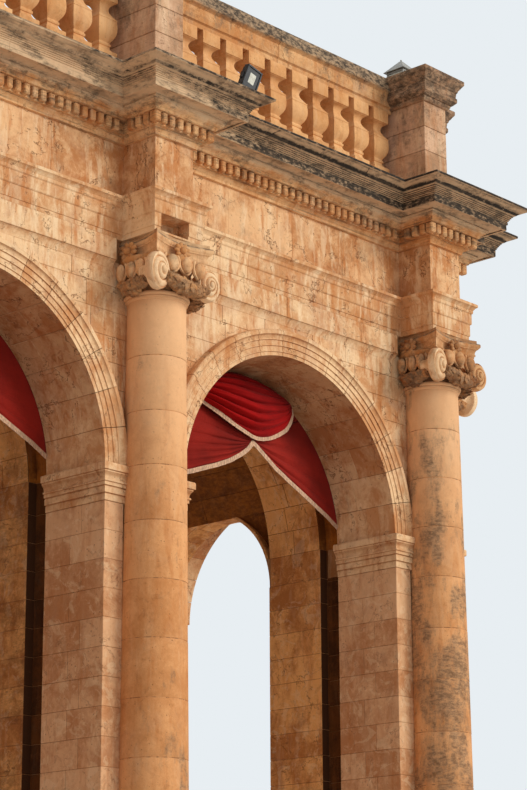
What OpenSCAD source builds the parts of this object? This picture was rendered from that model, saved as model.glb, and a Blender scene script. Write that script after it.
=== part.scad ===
// Free-standing arcaded stone pavilion: three bays long and one bay deep,
// with engaged Ionic columns, an entablature that breaks forward over each
// column, and a roof terrace with a balustrade.
// X runs along the long fronts, Y from front to rear, Z up.
// The origin is the centre of the footprint, at floor level.

/* [Plan] */
// Number of arched bays on each long front
bays = 3; // [1:1:5]
// Distance between column axes on the long fronts
bay_w = 4120; // [3900:10:4600]
// Depth of the building from pier face to pier face
depth = 5380; // [5300:10:6000]
// Width of a pier
pier_w = 1010; // [960:10:1100]
// Thickness of the arcade walls
wall_t = 780; // [700:10:850]

/* [Arches] */
// Level where the large arches spring
spring_z = 5360; // [5250:10:5500]
// Level where the small end arches spring
small_spring_z = 5050; // [4900:10:5060]
// Radius of the small arches in the cross walls
small_r = 935; // [800:5:950]
// Thickness of an end wall at its small arch
small_arch_t = 450; // [350:10:600]
// Width of the outer order of an end arch, which is recessed round the small one
outer_order_w = 330; // [250:10:380]
// Width of the moulded ring around a large arch
archivolt_w = 265; // [200:5:290]
// Width of the moulded ring around an end arch
small_archivolt_w = 200; // [150:5:220]
// Height of the impost mouldings
impost_h = 340; // [250:10:400]
// Projection of the impost mouldings
impost_out = 80; // [40:5:100]

/* [Columns] */
// Lower diameter of a column shaft
column_d = 640; // [560:10:660]
// Upper diameter of a column shaft
column_top_d = 545; // [480:5:560]
// Distance of a column axis in front of the pier face
column_out = 130; // [100:5:200]
// Height of a column pedestal
pedestal_h = 1547; // [1400:1:1600]
// Height of a column base
base_h = 300; // [260:10:340]
// Height of a capital with its astragal
capital_h = 528; // [500:1:560]
// Height of the abacus of a capital
abacus_h = 205; // [150:5:230]
// Half of the width of an abacus
abacus_half = 395; // [370:5:400]
// Radius of a corner volute
volute_r = 172; // [150:2:176]

/* [Entablature] */
// Height of the architrave's underside above the crown of a large arch
crown_h = 625; // [560:1:660]
// Height of the wall band that runs between the capitals
band_h = 213; // [150:1:240]
// Height of the architrave
architrave_h = 416; // [380:1:450]
// Height of the frieze
frieze_h = 561; // [500:1:600]
// Height of the cornice
cornice_h = 544; // [500:1:580]
// Width of the frieze block over a column
block_w = 500; // [460:10:560]
// Distance that a frieze block comes forward of the bay frieze
block_out = 430; // [380:10:460]
// Distance of the bay frieze behind the pier face
frieze_back = 80; // [40:5:100]
// Greatest projection of the cornice beyond the frieze
cornice_out = 570; // [480:10:600]

/* [Parapet] */
// Height of the plinth course under the balusters
parapet_plinth_h = 357; // [300:1:400]
// Height of a baluster
baluster_h = 757; // [700:1:800]
// Width of the top and bottom blocks of a baluster
baluster_w = 246; // [220:2:250]
// Distance between baluster axes
baluster_pitch = 335; // [320:5:380]
// Height of the handrail
rail_h = 385; // [340:1:400]
// Distance of the baluster axis behind the pier face
parapet_back = 293; // [280:1:320]
// Width of a parapet pedestal
parapet_pedestal_w = 380; // [340:10:420]

/* [Fittings] */
// Width of the glazed body of a roof lantern
lantern_w = 240; // [200:10:280]
// Height of a roof lantern below its roof
lantern_h = 400; // [300:10:450]
// Width of the floodlight housing
floodlight_w = 200; // [160:5:220]
// Height of the floodlight housing
floodlight_h = 230; // [180:5:260]
// Depth of the floodlight housing
floodlight_d = 90; // [60:5:120]

/* [Hidden] */
$fn = 48;
half_len = (bays * bay_w + pier_w) / 2;
half_dep = depth / 2;
half_pier = pier_w / 2;
arch_r = (bay_w - pier_w) / 2;
inner_y = half_dep - wall_t;
architrave_z = spring_z + arch_r + crown_h;
neck_z = architrave_z - capital_h;
frieze_z = architrave_z + architrave_h;
cornice_z = frieze_z + frieze_h;
cornice_top = cornice_z + cornice_h;
column_x = [for (i = [0 : bays]) (i - bays / 2) * bay_w];
bay_x = [for (i = [0 : bays - 1]) (i + 0.5 - bays / 2) * bay_w];
end_column_y = half_dep - half_pier;
// The face behind a column, and the spandrels, lie back from the pier strips
strip_w = 230;
recess = 60;
astragal_h = 50;
astragal_out = 28;
volute_t = 110;
plinth_out = 130;
plinth_in = 170;
// The open socket: its left side from the column axis, its width, height
// and depth, and its lower edge below the frieze
socket_x = -234;
socket_w = 366;
socket_h = 165;
socket_depth = 220;
socket_top = 394;
// The ribs of the vaults start just behind the corner piers and end at the
// small arches; a deep groove parts them from the arcade walls, and the
// middle of each passage is recessed
rib_back = 20;
rib_y = half_dep - pier_w - rib_back;
groove_w = inner_y - rib_y;
passage_recess = 100;
wall_half = half_pier - passage_recess;
end_face = half_pier - recess;
// The side pieces of the entablature and parapet start at this distance
// from the centre
split_y = 1300;
parapet_z = cornice_top + parapet_plinth_h;
terrace_z = parapet_z - 60;
rail_z = parapet_z + baluster_h;
rail_top = rail_z + rail_h;

// Helpers

module box(x0, x1, y0, y1, z0, z1) {
    translate([x0, y0, z0]) cube([x1 - x0, y1 - y0, z1 - z0]);
}

module rect(x0, x1, y0, y1) {
    translate([x0, y0]) square([x1 - x0, y1 - y0]);
}

module both_ends() {
    children();
    mirror([1, 0, 0]) children();
}

module both_fronts() {
    children();
    mirror([0, 1, 0]) children();
}

module rear() {
    mirror([0, 1, 0]) children();
}

// Places children at each column: the children face -Y
module front_columns() {
    for (x = column_x) translate([x, -half_dep, 0]) children();
}

module end_columns() {
    both_ends() for (y = [-end_column_y, end_column_y])
        translate([half_len, y, 0]) rotate([0, 0, 90]) children();
}

module all_columns() {
    both_fronts() front_columns() children();
    end_columns() children();
}

// Masonry

// The face between the strips of a pier lies back
module pier_recess() {
    box(-half_pier + strip_w, half_pier - strip_w, -1, recess, -1, spring_z + 1);
}

module middle_pier() {
    difference() {
        box(-half_pier, half_pier, 0, wall_t, 0, spring_z);
        pier_recess();
    }
}

// A pier at the corner x > 0, with its inner face stepped back at the groove
module corner_pier() {
    difference() {
        union() {
            box(-half_pier, half_pier, 0, wall_t, 0, spring_z);
            box(-wall_half, half_pier, 0, pier_w, 0, spring_z);
        }
        pier_recess();
        translate([half_pier, half_pier, 0]) rotate([0, 0, 90]) pier_recess();
    }
}

module front_piers() {
    for (i = [0 : bays]) translate([column_x[i], -half_dep, 0]) {
        if (i == 0) mirror([1, 0, 0]) corner_pier();
        else if (i == bays) corner_pier();
        else middle_pier();
    }
}

module piers_front() color("#cda06e") front_piers();
module piers_rear() color("#cda06e") rear() front_piers();

module small_arch_hollow(x0, x1) {
    translate([x0, 0, small_spring_z]) rotate([0, 90, 0]) cylinder(r = small_r, h = x1 - x0);
    box(x0, x1, -small_r, small_r, -1, small_spring_z);
}

// Half of the wall that crosses the building behind a pier, up to the
// springing of the vault: it starts at y0 and its outer face is at x1
module cross_wall_half(y0, x1_groove, x1_rib) {
    difference() {
        union() {
            box(-wall_half, x1_groove, y0, -rib_y, 0, spring_z);
            box(-half_pier, x1_rib, -rib_y, 0, 0, spring_z);
        }
        small_arch_hollow(-bay_w, bay_w);
    }
}

module cross_walls_inner() {
    color("#b98f62") both_fronts() for (i = [1 : bays - 1])
        translate([column_x[i], 0, 0]) cross_wall_half(-inner_y, wall_half, half_pier);
}

// The outer part of an end wall has a larger arch than the inner part
module outer_order_hollow() {
    x0 = small_arch_t - half_pier;
    r = small_r + outer_order_w;
    translate([x0, 0, small_spring_z]) rotate([0, 90, 0]) cylinder(r = r, h = half_pier);
    box(x0, x0 + half_pier, -r, r, -1, small_spring_z);
}

module cross_walls_end() {
    color("#b98f62") both_fronts() both_ends() translate([column_x[bays], 0, 0]) difference() {
        cross_wall_half(pier_w - half_dep, end_face, end_face);
        outer_order_hollow();
    }
}

// Stepped impost around a plan of half-width hx that runs from y0 to y1
module impost_steps(hx, y0, y1) {
    steps = [[0, 0.25, 0.15], [0.25, 0.3, 0.3], [0.55, 0.2, 0.65], [0.75, 0.25, 1]];
    for (s = steps) {
        e = s[2] * impost_out;
        box(-hx - e, hx + e, y0 - e, y1,
            spring_z - impost_h * (1 - s[0]), spring_z - impost_h * (1 - s[0] - s[1]));
    }
}

// Where no impost runs: the pier itself, its recessed face and the column
module impost_clearance(y1) {
    box(-half_pier, half_pier, 0, y1 + 1, 0, spring_z + 1);
    box(-half_pier + strip_w, half_pier - strip_w, -impost_out - 1, 1, 0, spring_z + 1);
    translate([0, -column_out, 0]) shaft_body();
}

module middle_impost() {
    difference() {
        impost_steps(half_pier, 0, wall_t);
        impost_clearance(wall_t);
    }
}

module corner_impost() {
    difference() {
        impost_steps(half_pier, 0, wall_t);
        impost_clearance(wall_t);
        box(half_pier, half_pier + impost_out + 1, strip_w, wall_t + 1, 0, spring_z + 1);
        translate([half_pier + column_out, half_pier, 0]) shaft_body();
    }
}

// On the strip between an end column and the small arch
module end_impost() {
    difference() {
        impost_steps(half_pier, 0, recess);
        impost_clearance(recess);
        box(-half_pier - impost_out - 1, half_pier - strip_w, -impost_out - 1, recess + 1,
            0, spring_z + 1);
    }
}

module front_imposts() {
    for (i = [0 : bays]) translate([column_x[i], -half_dep, 0]) {
        if (i == 0) mirror([1, 0, 0]) corner_impost();
        else if (i == bays) corner_impost();
        else middle_impost();
    }
}

module imposts_front() color("#d8ae7c") front_imposts();
module imposts_rear() color("#d8ae7c") rear() front_imposts();

module imposts_cross() {
    color("#d8ae7c") both_fronts() both_ends()
        translate([half_len, -end_column_y, 0]) rotate([0, 0, 90]) end_impost();
}

// Wall over one bay of the arcade, from the springing to the architrave,
// with the band between the capitals
module spandrel() {
    difference() {
        box(-bay_w / 2, bay_w / 2, recess, wall_t, spring_z, architrave_z);
        translate([0, -1, spring_z]) rotate([-90, 0, 0]) cylinder(r = arch_r, h = wall_t + 2);
    }
    box(-bay_w / 2 + abacus_half, bay_w / 2 - abacus_half, 0, recess,
        architrave_z - band_h, architrave_z);
}

// The outer bays run on to the corner
module outer_spandrel() {
    spandrel();
    box(bay_w / 2, bay_w / 2 + end_face, recess, wall_t, spring_z, architrave_z);
}

module front_outer_spandrels() {
    both_ends() translate([bay_x[bays - 1], -half_dep, 0]) outer_spandrel();
}

module front_inner_spandrels() {
    for (i = [1 : bays - 2]) translate([bay_x[i], -half_dep, 0]) spandrel();
}

module spandrels_front_outer() color("#d3a878") front_outer_spandrels();
module spandrel_front_centre() color("#d3a878") front_inner_spandrels();
module spandrels_rear_outer() color("#d3a878") rear() front_outer_spandrels();
module spandrel_rear_centre() color("#d3a878") rear() front_inner_spandrels();

// Moulded half ring, its inner edge on radius r, standing out of the wall
module archivolt(r, w, t) {
    rotate([-90, 0, 0]) rotate([0, 0, 180]) rotate_extrude(angle = 180)
        polygon([[r, 0], [r + w * 0.3, 0], [r + w * 0.3, -10], [r + w * 0.65, -10],
            [r + w * 0.65, -20], [r + w * 0.85, -35], [r + w, -35], [r + w, t], [r, t]]);
}

// The feet of the rings stop against the columns
module front_archivolts() {
    difference() {
        for (x = bay_x) translate([x, -half_dep, spring_z])
            archivolt(arch_r, archivolt_w, recess);
        front_columns() translate([0, -column_out, 0]) shaft_body();
    }
}

module archivolts_front() color("#dcb482") front_archivolts();
module archivolts_rear() color("#dcb482") rear() front_archivolts();

module archivolts_end() {
    color("#dcb482") both_ends() translate([half_len, 0, small_spring_z])
        rotate([0, 0, 90]) archivolt(small_r + outer_order_w, small_archivolt_w, recess);
}

// Vaults: ribs of the arch radius, with the groove and the middle set back
module vault_hollow() {
    translate([0, -inner_y - 1, spring_z]) rotate([-90, 0, 0])
        cylinder(r = arch_r, h = 2 * inner_y + 2);
    for (s = [-1, 1]) translate([0, s * (inner_y + rib_y) / 2, spring_z])
        rotate([90, 0, 0]) cylinder(r = arch_r + passage_recess, h = groove_w, center = true);
    translate([0, 0, spring_z]) rotate([90, 0, 0])
        cylinder(r = arch_r + passage_recess, h = 2 * small_r, center = true);
}

// Masonry over the passage of one bay, between the walls over the piers
module bay_vault() {
    half = bay_w / 2 - wall_half;
    difference() {
        box(-half, half, -inner_y, inner_y, spring_z, architrave_z);
        vault_hollow();
        small_arch_hollow(-half - 1, half + 1);
    }
}

module vaults() color("#a87f54") for (x = bay_x) translate([x, 0, 0]) bay_vault();

// Wall from the springing of the vault up, with the head of the small arch
module wall_head(x1) {
    difference() {
        box(-wall_half, x1, -inner_y, inner_y, spring_z, architrave_z);
        small_arch_hollow(-wall_half - 1, x1 + 1);
    }
}

module wall_heads_inner() {
    color("#b08458") for (i = [1 : bays - 1]) translate([column_x[i], 0, 0]) wall_head(wall_half);
}

module wall_heads_end() {
    color("#b08458") both_ends() translate([column_x[bays], 0, 0]) difference() {
        wall_head(end_face);
        outer_order_hollow();
    }
}

module roof_fill() {
    color("#b48a5c") box(-half_len + wall_t, half_len - wall_t, -inner_y, inner_y,
        architrave_z, cornice_top);
}

module terrace_deck() {
    color("#a8a093") translate([0, 0, cornice_top]) linear_extrude(terrace_z - cornice_top)
        difference() {
            rect(-parapet_x + plinth_in, parapet_x - plinth_in,
                -parapet_y + plinth_in, parapet_y - plinth_in);
            pedestal_plan(0);
        }
}

// Columns

module pedestal() {
    w = column_d * 1.35;
    y0 = -column_out - w / 2;
    difference() {
        union() {
            box(-w / 2 - 50, w / 2 + 50, y0 - 50, recess, 0, 150);
            box(-w / 2 - 20, w / 2 + 20, y0 - 20, recess, 150, 190);
            box(-w / 2, w / 2, y0, recess, 190, pedestal_h - 110);
            box(-w / 2 - 20, w / 2 + 20, y0 - 20, recess, pedestal_h - 110, pedestal_h - 80);
            box(-w / 2 - 45, w / 2 + 45, y0 - 45, recess, pedestal_h - 80, pedestal_h);
        }
        box(-half_pier, -half_pier + strip_w, 0, recess + 1, -1, pedestal_h + 1);
        box(half_pier - strip_w, half_pier, 0, recess + 1, -1, pedestal_h + 1);
    }
}

module column_pedestals() color("#c99b68") all_columns() pedestal();

// Cuts whatever stands on a column axis off at the pier behind it
module engaged() {
    difference() {
        translate([0, -column_out, 0]) children();
        box(-half_pier, -half_pier + strip_w, 0, half_pier, -1, spring_z);
        box(half_pier - strip_w, half_pier, 0, half_pier, -1, spring_z);
        box(-half_pier, half_pier, recess, half_pier, -1, architrave_z + 1);
    }
}

module shaft_body() {
    z0 = pedestal_h + base_h;
    translate([0, 0, z0]) cylinder(d1 = column_d, d2 = column_top_d, h = neck_z - z0);
}

module column_base() {
    r = column_d / 2;
    k = base_h / 300;
    engaged() {
        translate([-r * 1.36, -r * 1.36, pedestal_h]) cube([r * 2.72, r * 2.72, 100 * k]);
        translate([0, 0, pedestal_h]) rotate_extrude() polygon([[0, 99 * k], [r * 1.3, 99 * k],
            [r * 1.36, 115 * k], [r * 1.36, 155 * k], [r * 1.3, 170 * k], [r * 1.12, 175 * k],
            [r * 1.08, 200 * k], [r * 1.14, 225 * k], [r * 1.2, 235 * k], [r * 1.2, 265 * k],
            [r * 1.14, 278 * k], [r * 1.05, 280 * k], [r * 1.05, base_h], [0, base_h]]);
    }
}

module column_bases() color("#d2a672") all_columns() column_base();

module shaft() {
    r1 = column_top_d / 2;
    engaged() {
        shaft_body();
        translate([0, 0, neck_z]) cylinder(r = r1 + astragal_out, h = astragal_h);
    }
}

module column_shafts_front() color("#d2a672") front_columns() shaft();
module column_shafts_rear() color("#d2a672") rear() front_columns() shaft();
module column_shafts_end() color("#d2a672") end_columns() shaft();

// Capital with a concave-sided abacus and a volute at each corner
module capital() {
    z0 = neck_z + astragal_h;
    z1 = architrave_z - abacus_h;
    r = column_top_d / 2;
    volute_reach = 485;
    engaged() {
        translate([0, 0, z0]) cylinder(r1 = r, r2 = r * 1.25, h = z1 - z0);
        translate([0, 0, z1]) linear_extrude(abacus_h) difference() {
            square(2 * abacus_half, center = true);
            for (a = [0 : 90 : 270]) rotate(a) translate([0, -3 * abacus_half])
                circle(r = 2.15 * abacus_half);
            for (a = [45 : 90 : 315]) rotate(a) translate([volute_reach, -abacus_half])
                square(2 * abacus_half);
        }
        difference() {
            for (a = [45 : 90 : 315]) rotate([0, 0, a])
                translate([volute_reach - volute_r, 0, z1 - volute_r])
                    rotate([90, 0, 0]) cylinder(r = volute_r, h = volute_t, center = true);
            translate([0, 0, z0 - volute_r]) cylinder(r = r + astragal_out + 2, h = volute_r);
        }
    }
}

module capitals() color("#e0ba8c") all_columns() capital();

// Entablature. A plan is the outline of the frieze, grown by e.

module entablature_plan(e) {
    x = half_len - frieze_back + e;
    y = half_dep - frieze_back + e;
    rect(-x, x, -y, y);
    for (s = [-1, 1]) for (c = column_x)
        rect(c - block_w / 2 - e, c + block_w / 2 + e,
            min(s * (y + block_out), 0), max(s * (y + block_out), 0));
    for (s = [-1, 1]) for (c = [-end_column_y, end_column_y])
        rect(min(s * (x + block_out), 0), max(s * (x + block_out), 0),
            c - block_w / 2 - e, c + block_w / 2 + e);
}

module ring_layer(z0, z1, e) {
    translate([0, 0, z0]) linear_extrude(z1 - z0) difference() {
        entablature_plan(e);
        rect(-half_len + wall_t, half_len - wall_t, -inner_y, inner_y);
    }
}

// Layers of a band of height h, each of which runs up from the level of the
// one before: its level as a share of h, and its share of the projection
architrave_out = 112;
architrave_steps = [[0.132, 0.536], [0.45, 0.625], [0.736, 0.759], [0.829, 0.875], [1, 1]];
cornice_steps = [[0.064, 0.053], [0.129, 0.105], [0.34, 0.263], [0.441, 0.333],
    [0.542, 0.404], [0.763, 0.658], [0.809, 0.702], [0.901, 0.825], [1, 1]];

module layers(steps, z0, h, out) {
    for (i = [0 : len(steps) - 1])
        ring_layer(z0 + (i == 0 ? 0 : steps[i - 1][0] * h), z0 + h, steps[i][1] * out);
}

module architrave() layers(architrave_steps, architrave_z, architrave_h, architrave_out);
module frieze() ring_layer(frieze_z, cornice_z, 0);
module cornice() layers(cornice_steps, cornice_z, cornice_h, cornice_out);

module front_part() {
    intersection() {
        children();
        box(-2 * half_len, 2 * half_len, -2 * half_dep, -split_y, 0, 2 * cornice_top);
    }
}

module end_part() {
    intersection() {
        children();
        box(-2 * half_len, 2 * half_len, -split_y, split_y, 0, 2 * cornice_top);
    }
}

// A square socket is left open in the block over the second column from the
// right on the front
module architrave_front() {
    color("#d8ae7c") difference() {
        front_part() architrave();
        translate([column_x[bays - 1] + socket_x, -half_dep - block_out, frieze_z - socket_top])
            cube([socket_w, socket_depth, socket_h]);
    }
}
module architrave_rear() color("#d8ae7c") rear() front_part() architrave();
module architrave_ends() color("#d8ae7c") end_part() architrave();
module frieze_front() color("#cfa371") front_part() frieze();
module frieze_rear() color("#cfa371") rear() front_part() frieze();
module frieze_ends() color("#cfa371") end_part() frieze();
module cornice_front() color("#b79a78") front_part() cornice();
module cornice_rear() color("#b79a78") rear() front_part() cornice();
module cornice_ends() color("#b79a78") end_part() cornice();

// Parapet

parapet_x = half_len - parapet_back;
parapet_y = half_dep - parapet_back;
pedestal_half = parapet_pedestal_w / 2;
pedestal_front = 275;
pedestal_back = 187;
last_x = column_x[bays];

module parapet_ring(z0, z1, t0, t1) {
    translate([0, 0, z0]) linear_extrude(z1 - z0) difference() {
        rect(-parapet_x - t0, parapet_x + t0, -parapet_y - t0, parapet_y + t0);
        rect(-parapet_x + t1, parapet_x - t1, -parapet_y + t1, parapet_y - t1);
    }
}

// Outlines of the pedestals over the columns, grown by e; the two at each
// corner join as an L
module middle_plan(e) {
    both_fronts() for (i = [1 : bays - 1])
        rect(column_x[i] - pedestal_half - e, column_x[i] + pedestal_half + e,
            -half_dep - pedestal_front - e, -parapet_y + pedestal_back + e);
}

module corner_plan(e) {
    both_fronts() both_ends() {
        rect(last_x - pedestal_half - e, last_x + pedestal_half + e,
            -half_dep - pedestal_front - e, -end_column_y + pedestal_half + e);
        rect(last_x - pedestal_half - e, half_len + pedestal_front + e,
            -end_column_y - pedestal_half - e, -end_column_y + pedestal_half + e);
    }
}

module pedestal_plan(e) {
    middle_plan(e);
    corner_plan(e);
}

module parapet_plinth() {
    color("#c0a07a") difference() {
        parapet_ring(cornice_top, parapet_z, plinth_out, plinth_in);
        translate([0, 0, cornice_top - 1]) linear_extrude(parapet_plinth_h + 2) pedestal_plan(0);
    }
}

// Cap profile: height below the rail top, projection
cap = [[350, 0], [300, 40], [250, 95], [205, 84], [150, 90], [100, 120], [50, 150], [0, 155]];

// The die of a pedestal, for i = 0, or a layer of its cap
module pedestal_layer(i) {
    z0 = i == 0 ? cornice_top : rail_top - cap[i - 1][0];
    translate([0, 0, z0]) linear_extrude(rail_top - cap[i][0] - z0) children();
}

module parapet_pedestals() {
    color("#c9a57a") for (i = [0 : len(cap) - 1]) pedestal_layer(i) middle_plan(cap[i][1]);
}

module corner_pedestals() {
    color("#c9a57a") for (i = [0 : len(cap) - 1]) pedestal_layer(i) corner_plan(cap[i][1]);
}

// Half profile of a baluster: share of the height, share of the half-width
profile = [[0, 1], [0.258, 1], [0.28, 0.62], [0.317, 0.47], [0.357, 0.5], [0.403, 0.7],
    [0.469, 0.93], [0.538, 1], [0.594, 0.94], [0.661, 0.72], [0.713, 0.49], [0.762, 0.43],
    [0.799, 0.52], [0.845, 0.8], [0.865, 1], [1, 1]];

module baluster_face() {
    k = baluster_h;
    w = baluster_w / 2;
    rotate([90, 0, 0]) linear_extrude(baluster_w, center = true)
        polygon(concat([for (p = profile) [p[1] * w, p[0] * k]],
            [for (i = [len(profile) - 1 : -1 : 0]) [-profile[i][1] * w, profile[i][0] * k]]));
}

// Square in plan, with the same vase outline on all four sides
module baluster() {
    intersection() {
        baluster_face();
        rotate([0, 0, 90]) baluster_face();
    }
}

module baluster_row(span) {
    count = floor((span - parapet_pedestal_w + baluster_pitch - baluster_w) / baluster_pitch);
    for (i = [0 : count - 1])
        translate([(i - (count - 1) / 2) * baluster_pitch, 0, parapet_z]) baluster();
}

module front_balusters() {
    for (x = bay_x) translate([x, -parapet_y, 0]) baluster_row(bay_w);
}

module balusters_front() color("#d6ad7c") front_balusters();
module balusters_rear() color("#d6ad7c") rear() front_balusters();
module balusters_end() {
    color("#d6ad7c") both_ends() translate([parapet_x, 0, 0]) rotate([0, 0, 90])
        baluster_row(2 * end_column_y);
}

// Two bands and the handrail slab: underside, upper level, half of the width
rail_bands = [[0, 60, 108], [60, 221, 132], [221, rail_h, 174]];

module rails() {
    color("#9b8a74") difference() {
        for (b = rail_bands) parapet_ring(rail_z + b[0], rail_z + b[1], b[2], b[2]);
        parapet_pedestals();
        corner_pedestals();
    }
}

// Fittings

// Hem of the drapes, from the middle outwards, in shares of the arch radius:
// distance from the middle and height above the springing
hem = [[0, 0.566], [0.13, 0.54], [0.25, 0.458], [0.4, 0.362], [0.6, 0.274], [0.8, 0.198],
    [1.02, 0.109]];
curtain_t = 40;
curtain_gap = 0.3;
bowl_half = 0.418 * arch_r;
bowl_out = 0.116 * arch_r;
bowl_z = 0.588 * arch_r;

// Drapes tied at a knot under a gathered bowl of cloth, in one front arch
module curtain() {
    $fn = 160;
    r = arch_r - curtain_gap;
    bowl_r = (bowl_half * bowl_half + bowl_out * bowl_out) / (2 * bowl_out);
    translate([0, -inner_y, spring_z]) {
        rotate([90, 0, 0]) linear_extrude(curtain_t) intersection() {
            circle(r = r);
            polygon(concat([for (h = hem) r * h], [[1.02 * r, r], [-1.02 * r, r]],
                [for (i = [len(hem) - 1 : -1 : 1]) [-hem[i][0] * r, hem[i][1] * r]]));
        }
        intersection() {
            translate([0, bowl_r - bowl_out - curtain_t, bowl_z]) cylinder(r = bowl_r, h = r - bowl_z);
            box(-bowl_half, bowl_half, -bowl_out - curtain_t, -curtain_t, bowl_z, r);
            rotate([90, 0, 0]) cylinder(r = r, h = bowl_out + curtain_t);
        }
    }
}

module curtains() color("#aa2823") for (x = bay_x) translate([x, 0, 0]) curtain();

// Stands on the edge of the cornice over the second column from the right:
// distance from the column axis, and in front of the frieze block's face line
floodlight_x = 500;
floodlight_y = 380;

module floodlight() {
    foot_h = 25;
    color("#202020") translate([column_x[bays - 1] + floodlight_x,
        -half_dep - block_out - floodlight_y, cornice_top]) {
        translate([-50, -60, 0]) cube([100, 120, foot_h]);
        translate([0, 0, foot_h - 5]) rotate([12, 14, 0])
            translate([-floodlight_w / 2, -floodlight_d / 2, 0])
                cube([floodlight_w, floodlight_d, floodlight_h]);
    }
}

// Distance of a lantern's axis behind the axis of the side column
lantern_back = 230;

module lantern_place() {
    both_fronts() both_ends()
        translate([half_len + column_out - lantern_back, -end_column_y, rail_top]) children();
}

module lantern_bodies() {
    foot = lantern_w * 0.4;
    neck_h = 60;
    color("#6c6f70") lantern_place() {
        translate([-foot / 2, -foot / 2, 0]) cube([foot, foot, neck_h]);
        translate([-lantern_w / 2, -lantern_w / 2, neck_h])
            cube([lantern_w, lantern_w, lantern_h - neck_h]);
    }
}

module lantern_roofs() {
    w = lantern_w + 60;
    color("#8a8f90") lantern_place() translate([0, 0, lantern_h]) {
        rotate([0, 0, 45]) cylinder(d1 = w * sqrt(2), d2 = 30, h = w * 0.5, $fn = 4);
        translate([-11, -11, w * 0.5]) cube([22, 22, 25]);
    }
}

piers_front();
piers_rear();
cross_walls_inner();
cross_walls_end();
imposts_front();
imposts_rear();
imposts_cross();
spandrels_front_outer();
spandrel_front_centre();
spandrels_rear_outer();
spandrel_rear_centre();
archivolts_front();
archivolts_rear();
archivolts_end();
wall_heads_inner();
wall_heads_end();
vaults();
roof_fill();
terrace_deck();
column_pedestals();
column_bases();
column_shafts_front();
column_shafts_rear();
column_shafts_end();
capitals();
architrave_front();
architrave_rear();
architrave_ends();
frieze_front();
frieze_rear();
frieze_ends();
cornice_front();
cornice_rear();
cornice_ends();
parapet_plinth();
parapet_pedestals();
corner_pedestals();
balusters_front();
balusters_rear();
balusters_end();
rails();
curtains();
floodlight();
lantern_bodies();
lantern_roofs();
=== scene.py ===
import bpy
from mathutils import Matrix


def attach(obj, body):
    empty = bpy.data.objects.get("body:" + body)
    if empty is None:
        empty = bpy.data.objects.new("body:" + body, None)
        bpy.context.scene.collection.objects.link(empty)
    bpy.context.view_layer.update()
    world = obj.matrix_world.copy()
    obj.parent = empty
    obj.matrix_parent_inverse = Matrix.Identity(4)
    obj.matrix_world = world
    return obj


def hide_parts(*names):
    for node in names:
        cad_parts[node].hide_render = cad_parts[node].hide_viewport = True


bl_info = {
    "name": "Arcaded stone pavilion",
    "version": (1, 0, 0),
    "blender": (4, 5, 0),
    "location": "View3D > Sidebar > Pavilion",
    "description": "Stone, cloth and metal pieces of an arcaded pavilion",
    "category": "Object",
}

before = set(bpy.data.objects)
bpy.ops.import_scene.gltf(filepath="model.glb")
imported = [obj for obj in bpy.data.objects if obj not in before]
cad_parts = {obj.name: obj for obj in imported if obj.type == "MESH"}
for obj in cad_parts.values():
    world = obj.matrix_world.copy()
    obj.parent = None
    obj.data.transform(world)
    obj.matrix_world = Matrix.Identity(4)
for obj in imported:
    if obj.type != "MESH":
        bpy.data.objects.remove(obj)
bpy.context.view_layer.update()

import math
import random

import bmesh
import bpy
import numpy as np
from mathutils import Matrix, Vector, noise

# Plan of the packed model, in metres: X runs along the arcade and -Y is its front
BAY = 4.12
BAY_X = (-BAY, 0.0, BAY)
COLUMN_X = (-1.5 * BAY, -0.5 * BAY, 0.5 * BAY, 1.5 * BAY)
HALF_LEN = 6.685  # from the middle to the face of an end
HALF_DEP = 2.69  # from the middle to the face of the piers
HALF_PIER = 0.505
STRIP_IN = 0.275  # from a pier's axis to its raised strip
WALL_T = 0.78  # thickness of an arcade wall
RECESS = 0.06  # how far the spandrels stand back
INNER_Y = HALF_DEP - WALL_T
RIB_Y = 1.66  # where the grooves begin
WALL_HALF = 0.405  # half of a cross wall inside a groove
END_FACE = 0.445  # from a corner column's axis to the recessed face of the end
END_Y = HALF_DEP - HALF_PIER  # axes of the columns at the ends
COLUMN_OUT = 0.13  # from the face to a column's axis
FRONTS = ((-1, "front"), (1, "rear"))
COLUMN_GROUPS = ("front", "rear", "end")

# Piers: depth of the joints in both jambs, of a corner's return and of a groove's back
JAMB_JOINTS = (0.36, 0.42)
CORNER_RETURN = 0.23
GROOVE_BACK = 1.01

# Arches: the large ones, the small ones of the cross walls, and the outer order at the ends
ARCH_R = 1.555
RING_R = 1.82
SMALL_R = 0.935
OUTER_R = 1.265
OUTER_RING_R = 1.465
ORDER_X = 6.125  # where the outer order begins
STEP_BACK = ORDER_X - COLUMN_X[3]
SPRING = 5.36
SMALL_SPRING = 5.05
IMPOST_Z = 5.02
VAULT_FOOT = 6.1  # the middle of a vault has no courses below this
VOUSSOIRS = 15
RING_GAP = 0.0018  # half of a joint between voussoirs, in radians

# Columns
PEDESTAL_H = 1.547
BASE_TOP = 1.847
RING_Z = 6.925  # underside of the astragal
NECK = 7.012
FOOT_R = 0.32
NECK_R = 0.2725
ABACUS_Z = 7.335

# Entablature and parapet
BAND_Z = 7.327  # underside of the wall band between the capitals
BAND_HALF = 1.66
ARCHITRAVE_Z = 7.54
FRIEZE_Z = 7.956
CORNICE_Z = 8.517
CORNICE_TOP = 9.061
PLINTH_TOP = 9.418
RAIL_Z = 10.175
RAIL_TOP = 10.56
PARAPET_X = 6.392
PARAPET_Y = 2.397

# Joints of the drums of the two columns that were measured
DRUMS_A = (6.385, 5.861, 5.351, 4.839, 4.303, 3.771, 3.239, 2.716, 2.19)
DRUMS_B = (6.494, 5.970, 5.450, 4.925, 4.391, 3.869, 3.335, 2.802, 2.28)

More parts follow.
